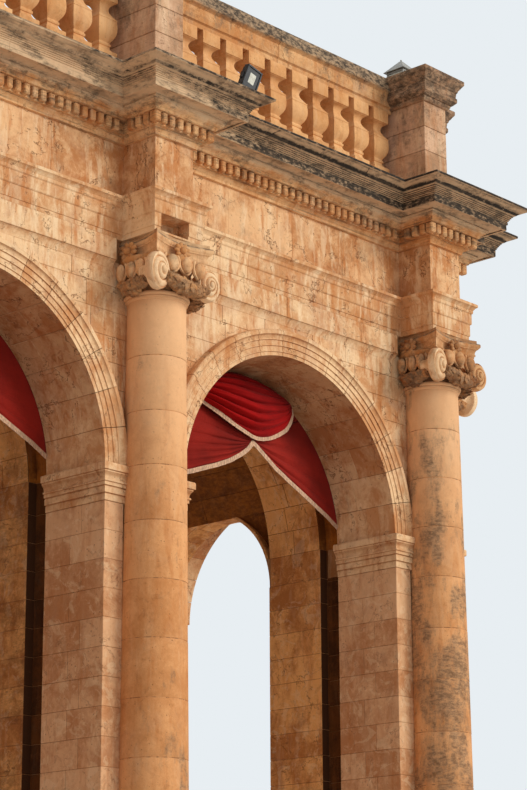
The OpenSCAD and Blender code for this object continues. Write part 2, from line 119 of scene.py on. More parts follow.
MORTAR = -1.0  # the tint that stands for mortar
BEVEL = 0.1  # chamfer of a shape of unit size
LEAST_STONE = 0.06  # shorter stones are left out of a wall


# Sizes and colours that a user would change

def linear(red, green, blue):
    """Turns an sRGB colour of 0 to 255 into the linear one that Blender keeps"""
    def one(value):
        value /= 255
        return value / 12.92 if value <= 0.04045 else ((value + 0.055) / 1.055) ** 2.4
    return one(red), one(green), one(blue)


def length(name, text, default, low, high):
    return bpy.props.FloatProperty(
        name=name, description=text, default=default, min=low, max=high,
        subtype="DISTANCE", unit="LENGTH")


def colour(name, text, red, green, blue):
    return bpy.props.FloatVectorProperty(
        name=name, description=text, default=linear(red, green, blue), min=0, max=1,
        subtype="COLOR")


class PavilionSizes(bpy.types.PropertyGroup):
    course: length("Course", "Height of a wall course", 0.262, 0.2, 0.4)
    joint: length("Joint", "Width of a masonry joint", 0.004, 0.002, 0.02)
    arris: length("Arris", "Width of the worn edge of a block", 0.003, 0.001, 0.02)
    proud: length("Proud", "How far a block stands out of the mortar", 0.005, 0.002, 0.02)
    drum: length("Drum", "Height of a column drum", 0.524, 0.3, 0.8)
    dentil: length("Dentil", "Distance between dentils", 0.102, 0.08, 0.2)
    fringe: length("Fringe", "Depth of the fringe of the drapes", 0.034, 0.02, 0.1)


class PavilionColours(bpy.types.PropertyGroup):
    stone: colour("Stone", "Pale cream limestone", 233, 194, 147)
    stone_deep: colour("Deep stone", "Orange-tan limestone", 200, 142, 92)
    jamb: colour("Jamb stone", "Limestone of the jambs", 222, 172, 126)
    jamb_deep: colour("Deep jamb stone", "Darker stone of the jambs", 188, 128, 82)
    lime: colour("Lime", "Pale lime runs and mortar smears", 238, 208, 166)
    rust: colour("Rust", "Orange iron stains", 188, 112, 52)
    umber: colour("Umber", "Brown stains and cracks", 134, 80, 42)
    rose: colour("Rose", "Pink-grey bloom on old stone", 188, 146, 116)
    grime: colour("Grime", "Grey-brown weathering", 124, 106, 84)
    lichen: colour("Lichen", "Nearly black growth on upper edges", 56, 48, 41)
    mortar: colour("Mortar", "Mortar in the open joints", 140, 98, 64)
    swag: colour("Swag", "Red cloth of the gathered swags", 146, 6, 4)
    drape: colour("Drape", "Duller red of the side drapes", 136, 30, 20)
    fringe: colour("Fringe", "Cream trim of the drapes", 214, 172, 136)
    black: colour("Black", "Black paint", 24, 24, 24)
    metal: colour("Metal", "Weathered zinc", 172, 168, 158)


def sizes():
    return bpy.context.scene.pavilion_sizes


def colours():
    return bpy.context.scene.pavilion_colours


# Shader maths

class Wire:
    """One output socket; Python's own signs on it add Math nodes"""

    def __init__(self, paint, socket):
        self.paint = paint
        self.socket = socket

    def math(self, operation, *values):
        return self.paint.node("ShaderNodeMath", {"operation": operation},
                               dict(enumerate(values)))

    def __add__(self, other):
        return self.math("ADD", self, other)

    def __radd__(self, other):
        return self.math("ADD", other, self)

    def __sub__(self, other):
        return self.math("SUBTRACT", self, other)

    def __rsub__(self, other):
        return self.math("SUBTRACT", other, self)

    def __mul__(self, other):
        return self.math("MULTIPLY", self, other)

    def __rmul__(self, other):
        return self.math("MULTIPLY", other, self)

    def top(self, other):
        return self.math("MAXIMUM", self, other)

    def size(self):
        return self.math("ABSOLUTE", self)


def opaque(value):
    """A wire as it is, or a colour with its alpha"""
    return value if isinstance(value, Wire) else (*value, 1.0)


def dimmed(colour, share):
    return [v * share for v in colour]


class Paint:
    """A material's node tree, built with expressions"""

    def __init__(self, name, world=False):
        self.owner = (bpy.data.worlds if world else bpy.data.materials).new(name)
        self.owner.use_nodes = True
        self.tree = self.owner.node_tree
        self.tree.nodes.clear()

    def node(self, kind, settings=None, inputs=None, output=0):
        """Adds a node: its settings first, then the values or links of its sockets"""
        node = self.tree.nodes.new(kind)
        for key, value in (settings or {}).items():
            setattr(node, key, value)
        for key, value in (inputs or {}).items():
            if isinstance(value, Wire):
                self.tree.links.new(value.socket, node.inputs[key])
            else:
                node.inputs[key].default_value = value
        return Wire(self, node.outputs[output]) if node.outputs else None

    def place(self):
        return self.node("ShaderNodeTexCoord", output="Object")

    def vector(self, operation, first, *second):
        return self.node("ShaderNodeVectorMath", {"operation": operation}, {0: first, 1: second})

    def stretch(self, place, x, y, z):
        return self.vector("MULTIPLY", place, x, y, z)

    def shift(self, place, x, y, z):
        return self.vector("ADD", place, x, y, z)

    def noise(self, vector, scale, detail=4.0, rough=0.55, distortion=0.0):
        return self.node("ShaderNodeTexNoise", {}, {
            "Vector": vector, "Scale": scale, "Detail": detail, "Roughness": rough,
            "Distortion": distortion})

    def cells(self, vector, scale):
        return self.node("ShaderNodeTexVoronoi", {}, {"Vector": vector, "Scale": scale})

    def between(self, value, low, high, soft=True):
        """0 below low and 1 above high"""
        return self.node(
            "ShaderNodeMapRange", {"interpolation_type": "SMOOTHSTEP" if soft else "LINEAR"},
            {"Value": value, "From Min": low, "From Max": high})

    def mix(self, first, second, factor, blend="MIX"):
        return self.node(
            "ShaderNodeMix", {"data_type": "RGBA", "blend_type": blend},
            {0: factor, 6: opaque(first), 7: opaque(second)}, output=2)

    def axis(self, vector, name):
        return self.node("ShaderNodeSeparateXYZ", {}, {0: vector}, output=name)

    def normal(self):
        return self.node("ShaderNodeNewGeometry", output="Normal")

    def value_of(self, attribute):
        return self.node("ShaderNodeAttribute", {"attribute_name": attribute}, output="Fac")

    def bump(self, height, distance, strength=1.0):
        return self.node("ShaderNodeBump", {}, {
            "Height": height, "Distance": distance, "Strength": strength})

    def surface(self, colour, bump, rough, **values):
        """The shader itself, with its constants on its own sockets"""
        inputs = {"Base Color": opaque(colour), "Roughness": rough}
        if bump:
            inputs["Normal"] = bump
        for key, value in values.items():
            inputs[key.replace("_", " ")] = value
        shader = self.node("ShaderNodeBsdfPrincipled", {}, inputs)
        self.node("ShaderNodeOutputMaterial", {}, {"Surface": shader})
        return self.owner


def spotted(p, place, size):
    """Fine dark specks with sharp edges"""
    return p.between(p.noise(place, size, 6, 0.8), 0.57, 0.66)


def stone(name, light, deep, *, lime, rust=0.4, rose=0.3, grime=0.15, cracks=0.5, dark=None,
          strata=0.0, bump=1.0, mends=0.0, blotch=1.0, pale=None, under=0.0, grime_and_shade=None):
    """Limestone with patches, vertical runs, cracks, pits and weathering

    dark is a function that takes the paint, the place and the upward part of the normal and
    gives a mask of heavy weathering; strata is the depth of fine level lines; mends is the
    share of pale mortar smears; pale is a colour, two heights between which it gains and how
    much of it there is; under is how much smoke browns the undersides; smoke is the light and
    the dark colour of the weathering
    """
    c = colours()
    p = Paint(name)
    place = p.place()
    tint = p.value_of("tint")
    up = p.axis(p.normal(), "Z")

    # Patches, told apart round the mean of their tone
    patches = p.noise(place, 0.9, 4, 0.6, 0.6)
    cloud = p.noise(p.shift(place, 3, 7, 1), 4.5, 7, 0.68, 0.5)
    grain = p.noise(place, 30, 7, 0.75)
    tone = patches * 0.35 + cloud * (0.5 * blotch) + grain * 0.2 + tint * 0.12
    middle = 0.175 + 0.25 * blotch + 0.1 + 0.06
    base = p.mix(deep, light, p.between(tone, middle - 0.11, middle + 0.09))

    # Stains, runs and washes
    bloom = p.noise(p.shift(place, 8, 2, 4), 2.1, 6, 0.65, 0.8)
    runs = p.noise(p.stretch(place, 6, 6, 1.1), 1.5, 7, 0.66, 0.4)
    spots = p.noise(p.shift(place, 2, 9, 6), 7.0, 7, 0.72, 1.2)
    wash = p.noise(p.shift(p.stretch(place, 7, 7, 1.3), 11, 3, 5), 1.2, 7, 0.7, 0.4)
    base = p.mix(base, c.rose, p.between(bloom, 0.52, 0.66) * rose)
    base = p.mix(base, c.rust, p.between(runs, 0.5, 0.64) * rust)
    base = p.mix(base, c.umber, p.between(spots + runs * 0.4, 0.76, 0.9) * (rust * 0.9))
    base = p.mix(base, c.lime, p.between(wash, 0.5, 0.64) * lime)

    # Cracks, grime, mends and pits
    ridge = p.noise(p.shift(place, 4, 4, 9), 1.7, 9, 0.62, 0.3)
    crack = 1 - p.between((ridge - 0.5).size(), 0.0, 0.006)
    crack = crack * p.between(cloud, 0.42, 0.55) * cracks
    base = p.mix(base, c.umber, crack)
    soot = p.noise(p.shift(place, 5, 1, 9), 2.3, 7, 0.72)
    worn = p.between(soot + up * 0.12, 0.54, 0.7) * grime
    base = p.mix(base, c.grime, worn)
    if mends:
        smear = p.noise(p.shift(place, 1, 4, 2), 5.0, 7, 0.66, 1.6)
        base = p.mix(base, c.lime, p.between(smear, 0.53, 0.6) * mends)
    pits = (1 - p.between(p.cells(place, 22), 0.06, 0.2)) * p.between(cloud, 0.48, 0.6)
    base = p.mix(base, dimmed(deep, 0.35), pits * 0.55)
    base = p.mix(base, dimmed(deep, 0.5), spotted(p, place, 26) * (0.25 + 0.4 * worn))

    # What the height, the weather and the painted shade on the undersides do
    if pale:
        shade, low, high, share = pale
        gain = p.between(p.axis(place, "Z") + cloud * 0.1, low, high)
        base = p.mix(base, shade, gain * share)
    if under:
        # Painted shade: faces that look down are made darker and browner
        below = p.between(up * -1, 0.1, 0.75)
        base = p.mix(base, linear(200, 172, 150), below * under, "MULTIPLY")
    if dark:
        # The mask is heavy weathering outside, and partly painted shade on the vaults, ribs and
        # grooves
        mask = dark(p, place, up)
        fleck = p.noise(p.stretch(place, 1, 1, 2.2), 12, 8, 0.78)
        first, last = grime_and_shade or (c.grime, c.lichen)
        shade = p.mix(first, last, p.between(fleck + mask * 0.1, 0.52, 0.7))
        base = p.mix(base, shade, mask * (0.35 + 0.65 * p.between(fleck, 0.36, 0.56)))

    # Mortar where the tint says so, and the relief
    fill = p.mix(c.mortar, light, p.between(spots, 0.44, 0.56) * 0.8)
    base = p.mix(fill, base, p.between(tint, -0.6, -0.4, False))
    height = grain * 0.6 + cloud * 0.7 - pits * 0.8 - crack * 0.6
    if strata:
        lines = p.noise(p.stretch(place, 1.8, 1.8, 60), 1.0, 3, 0.6)
        height = height + lines * strata
        base = p.mix(base, dimmed(c.grime, 0.5), p.between(lines, 0.52, 0.66) * (0.5 * strata))
    return p.surface(base, p.bump(height, 0.008 * bump, 0.8), 0.92, Specular_IOR_Level=0.25)


def cornice_weather(p, place, up):
    """Heavy weathering above the corona's soffit, blackest along the top"""
    height = p.axis(place, "Z")
    soot = p.noise(p.stretch(place, 1.6, 1.6, 4.5), 2.4, 9, 0.76)
    more = p.between(p.axis(place, "X"), 0.5, 4.5, False) * (0.3 - 0.3 * p.between(up, 0.4, 0.9))
    face = p.between(height, 8.79, 8.82, False) * p.between(up, -0.96, -0.8)
    top = p.between(height, 8.90, 8.96, False)
    face = face * p.between(soot + top * 0.08 + more, 0.5, 0.7)
    edge = p.between(height + soot * 0.05, 9.05, 9.085)
    under = p.between(soot, 0.47, 0.6) * p.between(height, 8.54, 8.64) * 0.7
    return (face * (0.66 + 0.26 * top) * (1 + 4 * more)).top(under).top(edge * 0.9)


def rail_weather(p, place, up):
    """The handrail slab and the caps of the pedestals are nearly black"""
    height = p.axis(place, "Z")
    soot = p.noise(p.stretch(place, 2, 2, 1.5), 1.8, 8, 0.72)
    slab = p.between(height + soot * 0.16, 10.46, 10.51) * 0.95
    band = p.between(soot, 0.50, 0.62) * p.between(height, 10.15, 10.35) * 0.7
    low = p.between(soot, 0.5, 0.62) * p.between(up, 0.3, 0.8)
    foot = p.between(soot - height * 0.35, -2.76, -2.66) * 0.6
    return slab.top(band).top(low).top(foot)


def pedestal_weather(p, place, up):
    """Caps dark through all their mouldings, with runs of damp on the dies"""
    height = p.axis(place, "Z")
    soot = p.noise(p.stretch(place, 3, 3, 1.4), 1.6, 8, 0.72)
    cap = p.between(height + soot * 0.16, 10.24, 10.34) * 0.85
    run = p.between(soot + p.between(height, 9.3, 10.2) * 0.05, 0.54, 0.66) * 0.55
    return cap.top(run).top(p.between(soot - height * 0.35, -2.76, -2.66) * 0.6)


def capital_growth_and_shade(p, place, up):
    """Black growth on top of the abacus and damp underneath"""
    height = p.axis(place, "Z")
    soot = p.noise(place, 6, 7, 0.7)
    top = p.between(height + soot * 0.05, 7.5, 7.52) * p.between(up, -0.2, 0.4)
    # Painted shade: darker towards the bottom, under the abacus and scrolls
    low = p.between(soot - height * 0.6, -3.86, -3.72) * 0.6
    return top.top(low)


def column_weather(p, place, up):
    """Grey stains on the lower drums, more of them towards the far end"""
    height = p.axis(place, "Z")
    along = p.axis(place, "X")
    soot = p.noise(p.stretch(place, 2.2, 2.2, 1.1), 1.4, 8, 0.68)
    more = p.between(along, 2.6, 5.8) * 0.12
    low = (7.2 - height) * 0.018
    return p.between(soot + more + low, 0.60, 0.74) * 0.7


def rib_painted_shade(p, place, up):
    """Dark on the faces inside the grooves, and smoke towards the middle of the arcade"""
    off = p.axis(place, "Y").size()
    facing = p.axis(p.normal(), "Y").size()
    # Painted shade: the faces inside the grooves are darkened right through
    groove = p.between(off, 1.62, 1.65, False) * p.between(facing, 0.5, 0.8)
    soot = p.noise(place, 1.3, 7, 0.68)
    # Painted shade in patches, fading towards the ends of the arcade
    middle = 1 - p.between(p.axis(place, "X").size(), 2.6, 4.8)
    return (groove * 2.8).top(middle * p.between(soot, 0.3, 0.6) * 0.6)


def inner_blotches_and_shade(p, place, up):
    """Smoke and damp on the vaults and high in the passages"""
    height = p.axis(place, "Z")
    off = p.axis(place, "Y").size()
    soot = p.noise(place, 1.3, 7, 0.68)
    deep = 1 - p.between(off, 0.9, 1.0)
    # Painted shade: the blotches cover more high up and within 0.9 of the middle line
    return p.between(soot + p.between(height, 4.8, 6.2) * 0.2 + deep * 0.2, 0.55, 0.8) * 0.6


def make_materials():
    """Every material of the pavilion, by name"""
    c = colours()
    warm, amber = linear(226, 176, 122), linear(196, 134, 80)
    # Dark brown tones for the inside masks: painted shade, with dark blotches on the vaults
    grime_and_shade = linear(104, 58, 22), linear(68, 36, 12)
    damp = linear(108, 88, 68), linear(48, 40, 32)
    return {
        "wall": stone("wall stone", c.stone, c.stone_deep, rust=0.6, lime=0.6, rose=0.35,
                      cracks=0.9),
        "jamb": stone("jamb stone", c.jamb, c.jamb_deep, rust=0.3, lime=0.12, rose=0.2,
                      mends=0.3),
        # Arch stones: painted shade darkens and browns their soffits and undersides
        "arch": stone("arch stone", c.stone, c.stone_deep, rust=0.5, lime=0.3, grime=0.3,
                      cracks=0.9, under=0.8),
        "column": stone("column stone", linear(222, 160, 104), linear(196, 132, 78), rust=0.35,
                        lime=0.1, rose=0.15, cracks=0.1, dark=column_weather, bump=0.5,
                        blotch=0.7, pale=(linear(238, 192, 144), 4.5, 7.0, 0.6)),
        "capital": stone("carved stone", linear(226, 178, 128), linear(180, 124, 76), lime=0.25,
                         rose=0.1, grime=0.45, cracks=0.3, bump=0.5, dark=capital_growth_and_shade),
        # Darker than the carved stone of the eggs: painted shade on the bell and festoons under the
        # abacus and scrolls, with grime
        "leaf": stone("leafy stone with painted shade", linear(200, 142, 88), linear(136, 86, 48), lime=0.15,
                      rose=0.1, grime=0.5, cracks=0.2, bump=0.8, dark=capital_growth_and_shade),
        "scroll": stone("scroll stone", linear(236, 200, 156), linear(206, 156, 106), lime=0.4,
                        rose=0.2, grime=0.35, cracks=0.3, bump=0.4),
        "frieze": stone("frieze stone", linear(228, 180, 130), linear(184, 122, 72), rust=0.6,
                        lime=0.5, rose=0.25, grime=0.3, cracks=1.0),
        "cornice": stone("cornice stone", warm, amber, rust=0.5, lime=0.25, grime=0.4,
                         cracks=0.6, dark=cornice_weather, grime_and_shade=damp, strata=0.9,
                         pale=(linear(206, 176, 140), 8.78, 8.84, 0.75)),
        "rail": stone("rail stone", warm, amber, rust=0.4, lime=0.15, grime=0.45, cracks=0.6,
                      dark=rail_weather, strata=0.25,
                      pale=(linear(196, 168, 136), 10.44, 10.5, 0.7)),
        "pedestal": stone("parapet pedestal stone", linear(216, 174, 138),
                          linear(178, 134, 98), rust=0.3, lime=0.3, rose=0.8, grime=0.6,
                          cracks=0.6, dark=pedestal_weather, grime_and_shade=damp, strata=0.2),
        "baluster": stone("baluster stone", linear(232, 178, 120), linear(208, 148, 92),
                          rust=0.3, lime=0.15, rose=0.1, cracks=0.2, bump=0.5, blotch=0.7),
        # Rib stones take painted shade inside the grooves and towards the middle bays
        "rib": stone("rib stone", linear(236, 172, 102), linear(178, 112, 56), lime=0.12,
                     rose=0.05, grime=0.3, cracks=0.8, mends=0.25, dark=rib_painted_shade,
                     grime_and_shade=grime_and_shade),
        # The dark brown of the vaults and the heads of the walls is painted shade, with dark
        # blotches
        "inside": stone("inner stone with painted shade", linear(168, 100, 28), linear(110, 58, 10), rust=0.2,
                        lime=0.04, rose=0.0, grime=0.2, dark=inner_blotches_and_shade, grime_and_shade=grime_and_shade),
        # The very dark brown of the groove backs is painted shade
        "groove": stone("groove stone in painted shade", linear(96, 54, 16), linear(62, 32, 8), rust=0.1,
                        lime=0.02, rose=0.0, grime=0.1, dark=inner_blotches_and_shade, grime_and_shade=grime_and_shade),
        "paving": stone("paving stone", linear(176, 160, 136), linear(146, 128, 104), rust=0.1,
                        lime=0.2, grime=0.5),
        "mortar": stone("mortar", linear(186, 138, 92), linear(150, 104, 62), rust=0.2,
                        lime=0.2, grime=0.4),
        "swag": cloth("red swag cloth", c.swag),
        "drape": cloth("red drape cloth", c.drape),
        "fringe": fringe(),
        "black": dusty("black paint", 60, c.black, [v * 3 + 0.02 for v in c.black],
                       (0.55, 0.75), relief=0.0006, rough=(0.2, 0.25, 0.35), share=0.6),
        "metal": dusty("sheet metal", 14, dimmed(c.metal, 0.6), c.metal, (0.35, 0.65),
                       relief=0.002, rough=(0.2, 0.3, 0.4), detail=6, Metallic=0.3),
        "glass": dusty("lamp glass", 40, linear(206, 204, 186), linear(176, 170, 150),
                       (0.4, 0.7), relief=0.0004, rough=(0.3, 0.3, 0.15)),
    }


def cloth(name, red):
    """Plain woven cloth, faded in patches"""
    p = Paint(name)
    place = p.place()
    fade = p.noise(place, 1.6, 4, 0.5)
    slub = p.noise(p.stretch(place, 220, 220, 16), 1.0, 3, 0.6)
    pick = p.noise(p.stretch(place, 20, 20, 260), 1.0, 3, 0.6)
    bright = [min(1, v * 1.25) for v in red]
    base = p.mix(dimmed(red, 0.72), bright, p.between(fade, 0.35, 0.65))
    base = p.mix(base, dimmed(red, 0.55), p.between(slub + pick, 0.95, 1.25) * 0.4)
    return p.surface(base, p.bump(slub * 0.5 + pick * 0.5, 0.0012), 0.85,
                     Specular_IOR_Level=0.12, Sheen_Weight=0.02, Sheen_Roughness=0.5)


def fringe():
    """Cream threads that hang"""
    c = colours()
    p = Paint("cream fringe")
    threads = p.noise(p.stretch(p.place(), 90, 90, 12), 1.0, 4, 0.6)
    base = p.mix(dimmed(c.fringe, 0.6), c.fringe, p.between(threads, 0.4, 0.6))
    return p.surface(base, p.bump(threads, 0.003), 0.85, Sheen_Weight=0.2)


def dusty(name, scale, first, last, marks, *, relief, rough, share=1.0, detail=5, **values):
    """Two tones of paint, metal or glass that a fine dust mixes and makes rougher

    rough is the dust's mark where it begins, how much the dust adds, and the least roughness
    """
    p = Paint(name)
    dust = p.noise(p.place(), scale, detail, 0.7)
    base = p.mix(first, last, p.between(dust, *marks) * share)
    low, more, least = rough
    return p.surface(base, p.bump(dust, relief), p.between(dust, low, 0.8) * more + least,
                     **values)


# Shapes

def read(items, key, kind, width=1):
    """The values of a mesh's items as an array"""
    values = np.empty(len(items) * width, kind)
    items.foreach_get(key, values)
    return values


class Shape:
    """Arrays of a closed shape that bmesh operators made, to be stamped in a heap"""

    def __init__(self, bm):
        mesh = bpy.data.meshes.new("shape")
        bm.to_mesh(mesh)
        bm.free()
        points = read(mesh.vertices, "co", np.float32, 3)
        self.points = points.reshape(-1, 3).astype(np.float64)
        self.corners = read(mesh.loops, "vertex_index", np.int32)
        self.sizes = read(mesh.polygons, "loop_total", np.int32)
        self.tint = None
        if "tint" in mesh.attributes:
            self.tint = read(mesh.attributes["tint"].data, "value", np.float32)
        bpy.data.meshes.remove(mesh)


def turned(points, angle, x, y, z=0.0):
    """Points turned about the Z axis and then moved"""
    c, s = math.cos(angle), math.sin(angle)
    turn = np.array(((c, s, 0), (-s, c, 0), (0, 0, 1)))
    return points @ turn + np.array((x, y, z))


class Heap:
    """Many closed shapes gathered into one mesh, each with a tint"""

    def __init__(self, seed):
        self.points, self.corners, self.sizes, self.tints = [], [], [], []
        self.count = 0
        self.rng = random.Random(seed)

    def stamp(self, shape, points=None, tint=None):
        points = shape.points if points is None else points
        if tint is None:
            tint = self.rng.random()
        self.points.append(points)
        self.corners.append(shape.corners + self.count)
        self.sizes.append(shape.sizes)
        self.tints.append(np.full(len(shape.sizes), tint) if shape.tint is None else shape.tint)
        self.count += len(points)

    def stand(self, shape, angle, x, y, tint=None):
        """Stamps a shape turned about the upright axis and then moved level"""
        self.stamp(shape, turned(shape.points, angle, x, y), tint)

    def add(self, bm):
        self.stamp(Shape(bm))

    def build(self, name, material, slot, nodes=(), angle=35):
        """Makes the piece, lets it ride on the body and stand for CAD nodes"""
        mesh = bpy.data.meshes.new(name)
        points = np.concatenate(self.points).astype(np.float32)
        corners = np.concatenate(self.corners)
        counts = np.concatenate(self.sizes)
        mesh.vertices.add(len(points))
        mesh.vertices.foreach_set("co", points.ravel())
        mesh.loops.add(len(corners))
        mesh.loops.foreach_set("vertex_index", corners)
        mesh.polygons.add(len(counts))
        mesh.polygons.foreach_set("loop_start", np.concatenate(([0], np.cumsum(counts)[:-1])))
        mesh.update(calc_edges=True)
        tint = mesh.attributes.new("tint", "FLOAT", "FACE")
        tint.data.foreach_set("value", np.concatenate(self.tints).astype(np.float32))
        mesh.shade_smooth()
        mesh.set_sharp_from_angle(angle=math.radians(angle))
        return finish_piece(name, mesh, material, nodes)


def add_object(name, data):
    """A new object in the scene"""
    made = bpy.data.objects.new(name, data)
    bpy.context.scene.collection.objects.link(made)
    return made


def finish_piece(name, mesh, material, nodes=()):
    piece = add_object(name, mesh)
    mesh.materials.append(LOOKS[material])
    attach(piece, "root")
    if nodes:
        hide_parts(*nodes)
    return piece


def chamfer(bm, edges, width, segments=1):
    bmesh.ops.bevel(bm, geom=edges, offset=width, offset_type="OFFSET", affect="EDGES",
                    segments=segments, profile=0.5, material=-1)


def sealed(bm):
    """Joins points that meet, fills the holes and turns every face outwards"""
    bmesh.ops.remove_doubles(bm, verts=bm.verts[:], dist=1e-6)
    edges = [e for e in bm.edges if e.is_boundary]
    if edges:
        bmesh.ops.holes_fill(bm, edges=edges, sides=0)
    bmesh.ops.recalc_face_normals(bm, faces=bm.faces[:])
    return bm


def block_shape(cuts=0):
    """A unit block with chamfered edges, cut across its length"""
    bm = bmesh.new()
    bmesh.ops.create_cube(bm, size=1)
    chamfer(bm, bm.edges[:], BEVEL)
    for i in range(cuts):
        x = ((i + 1) / (cuts + 1) - 0.5) * (1 - 2 * BEVEL)
        bmesh.ops.bisect_plane(bm, geom=bm.verts[:] + bm.edges[:] + bm.faces[:],
                               plane_co=(x, 0, 0), plane_no=(1, 0, 0))
    return Shape(bm)


def fitted(points, size, bevel):
    """Points of the unit block stretched to a size, its chamfers at their own width"""
    half = np.array(size) / 2
    core = 0.5 - BEVEL
    inner = points / core * (half - bevel)
    return np.where(np.abs(points) > core + 1e-4, np.sign(points) * half, inner)


def block(heap, low, high, bevel=None, tint=None):
    """A block between two corners"""
    low, high = np.minimum(low, high), np.maximum(low, high)
    bevel = sizes().arris if bevel is None else bevel
    points = fitted(BLOCK.points, high - low, min(bevel, 0.3 * (high - low).min()))
    heap.stamp(BLOCK, points + (low + high) / 2, tint)


def bent_block(heap, place, along, radii, angles):
    """A block bent round the level axis of an arch

    place gives the points for radii, angles and lengths along the axis
    """
    width = abs(angles[1] - angles[0]) * radii[0]
    size = (width, abs(along[1] - along[0]), radii[1] - radii[0])
    points = fitted(BENT.points, size, sizes().arris)
    angle = (angles[0] + angles[1]) / 2 + points[:, 0] / radii[0]
    radius = (radii[0] + radii[1]) / 2 + points[:, 2]
    length_at = (along[0] + along[1]) / 2 + points[:, 1]
    heap.stamp(BENT, np.stack(place(radius, angle, length_at), 1))


def grid_of(n, m):
    """A flat grid of n by m points, as a bmesh and its points by row and column"""
    bm = bmesh.new()
    bmesh.ops.create_grid(bm, x_segments=n - 1, y_segments=m - 1, size=1)
    table = {}
    for vert in bm.verts:
        i = round((vert.co.x + 1) / 2 * (n - 1))
        j = round((vert.co.y + 1) / 2 * (m - 1))
        table[i, j] = vert
    if len(table) != n * m:
        raise RuntimeError("the grid has not the points that were asked for")
    return bm, table


def sheet_of(n, m, where):
    """A grid of n by m points with its points at where(i, j)"""
    bm, table = grid_of(n, m)
    for (i, j), vert in table.items():
        vert.co = where(i, j)
    return bm


def bend(n, m, where):
    """A closed shape bent out of a grid, with its seams and ends sealed"""
    return sealed(sheet_of(n, m, where))


def sweep(section, path, loop=False):
    """Carries a closed section of (out, up) points along stations (x, y, dx, dy)"""
    n, m = len(path), len(section)

    def where(i, j):
        x, y, dx, dy = path[i % n]
        out, up = section[j % m]
        return x + out * dx, y + out * dy, up
    return bend(n + 1 if loop else n, m + 1, where)


def lathe(profile, steps):
    """Spins a profile of (radius, height) points, from axis to axis"""
    bm = bmesh.new()
    verts = [bm.verts.new((r, 0, z)) for r, z in profile]
    edges = [bm.edges.new(pair) for pair in zip(verts, verts[1:])]
    bmesh.ops.spin(bm, geom=verts + edges, axis=(0, 0, 1), cent=(0, 0, 0),
                   angle=2 * math.pi, steps=steps, use_merge=True)
    return sealed(bm)


def tube(points, radii, sides, up=(0, 0, 1)):
    """A tube with closed ends through points, each with its own radius"""
    points = [Vector(p) for p in points]
    last = len(points) - 1

    def where(i, j):
        ahead = (points[min(i + 1, last)] - points[max(i - 1, 0)]).normalized()
        side = ahead.cross(Vector(up)).normalized()
        over = side.cross(ahead)
        angle = 2 * math.pi * (j % sides) / sides
        return points[i] + radii[i] * (math.cos(angle) * side + math.sin(angle) * over)
    return bend(len(points), sides + 1, where)


def arc(cx, cz, r, start, end, n):
    """Points of an arc in degrees, for a profile"""
    turns = [math.radians(start + (end - start) * i / n) for i in range(n + 1)]
    return [(cx + r * math.cos(turn), cz + r * math.sin(turn)) for turn in turns]


def lifted(z, points):
    """Points (out, up) of a profile that starts at the height z"""
    return [(out, z + up) for out, up in points]


# Masonry

def cut_by(polygon, centre, radius):
    """Cuts a polygon off at the tangent of a circle that it reaches into"""
    points = [Vector(p) for p in polygon]
    middle = sum(points, Vector((0, 0))) / len(points)
    away = (middle - centre).normalized()
    kept = []
    for a, b in zip(points, points[1:] + points[:1]):
        da = (a - centre).dot(away) - radius
        db = (b - centre).dot(away) - radius
        if da >= 0:
            kept.append(a)
        if (da >= 0) != (db >= 0):
            kept.append(a + (b - a) * (da / (da - db)))
    return kept


def prism(heap, place, polygon, depth, proud):
    """A wall stone of any outline, its front edges chamfered"""
    bm = bmesh.new()
    face = bm.faces.new([bm.verts.new(place(u, z, -depth)) for u, z in polygon])
    out = Vector(place(0, 0, proud)) - Vector(place(0, 0, -depth))
    made = bmesh.ops.extrude_face_region(bm, geom=[face])["geom"]
    front = [v for v in made if isinstance(v, bmesh.types.BMVert)]
    bmesh.ops.translate(bm, verts=front, vec=out)
    chamfer(bm, [e for e in made if isinstance(e, bmesh.types.BMEdge)], sizes().arris)
    bmesh.ops.recalc_face_normals(bm, faces=bm.faces[:])
    heap.add(bm)


def clear_of(shape, rings):
    """The outline of a stone cut clear of the arches, or nothing if it is all inside one"""
    for along, up, radius in rings:
        near = [math.hypot(a - along, b - up) < radius for a, b in shape]
        if all(near):
            return []
        if any(near):
            shape = cut_by(shape, Vector((along, up)), radius)
    return shape


def wall(heap, place, span, levels, rings=(), lengths=(0.45, 0.8), depth=0.03):
    """Courses of stones over a wall face

    place gives the point for a distance along, a height and a distance out;
    rings are arches (along, height, radius) that the stones leave clear
    """
    s = sizes()
    rng = heap.rng
    count = max(1, round((levels[1] - levels[0]) / s.course))
    rise = (levels[1] - levels[0]) / count
    for j in range(count):
        z0 = levels[0] + j * rise
        u = span[0] - rng.uniform(0, lengths[1])
        while u < span[1]:
            step = rng.uniform(*lengths)
            left, right = max(u, span[0]), min(u + step, span[1])
            u += step
            if right - left < LEAST_STONE:
                continue
            proud = s.proud + rng.uniform(-0.002, 0.002)
            gap = s.joint / 2
            corners = [(left + gap, z0 + gap), (right - gap, z0 + gap),
                       (right - gap, z0 + rise - gap), (left + gap, z0 + rise - gap)]
            shape = clear_of(corners, rings)
            if shape is corners:
                block(heap, place(*corners[0], -depth), place(*corners[2], proud))
            elif len(shape) > 2:
                prism(heap, place, shape, depth, proud)


def pier_boxes(outer):
    """Plan boxes of the stones of a pier, from its axis and its front face

    For a corner pier the outer side is the side of growing x
    """
    p = sizes().proud
    lap = 0.02
    near, far = JAMB_JOINTS
    left, right = (-HALF_PIER - p, -STRIP_IN), (STRIP_IN, HALF_PIER + p)
    boxes = [(left, (-p, near)), (left, (near, WALL_T + p))]
    if outer:
        boxes += [(right, (-p, CORNER_RETURN)), (right, (WALL_T, GROOVE_BACK + p)),
                  ((-WALL_HALF - p, STRIP_IN), (WALL_T + 2 * p, GROOVE_BACK + p))]
    else:
        boxes += [(right, (-p, far)), (right, (far, WALL_T + p)),
                  ((-STRIP_IN - lap, STRIP_IN + lap), (WALL_T - 0.1, WALL_T + p))]
    return boxes


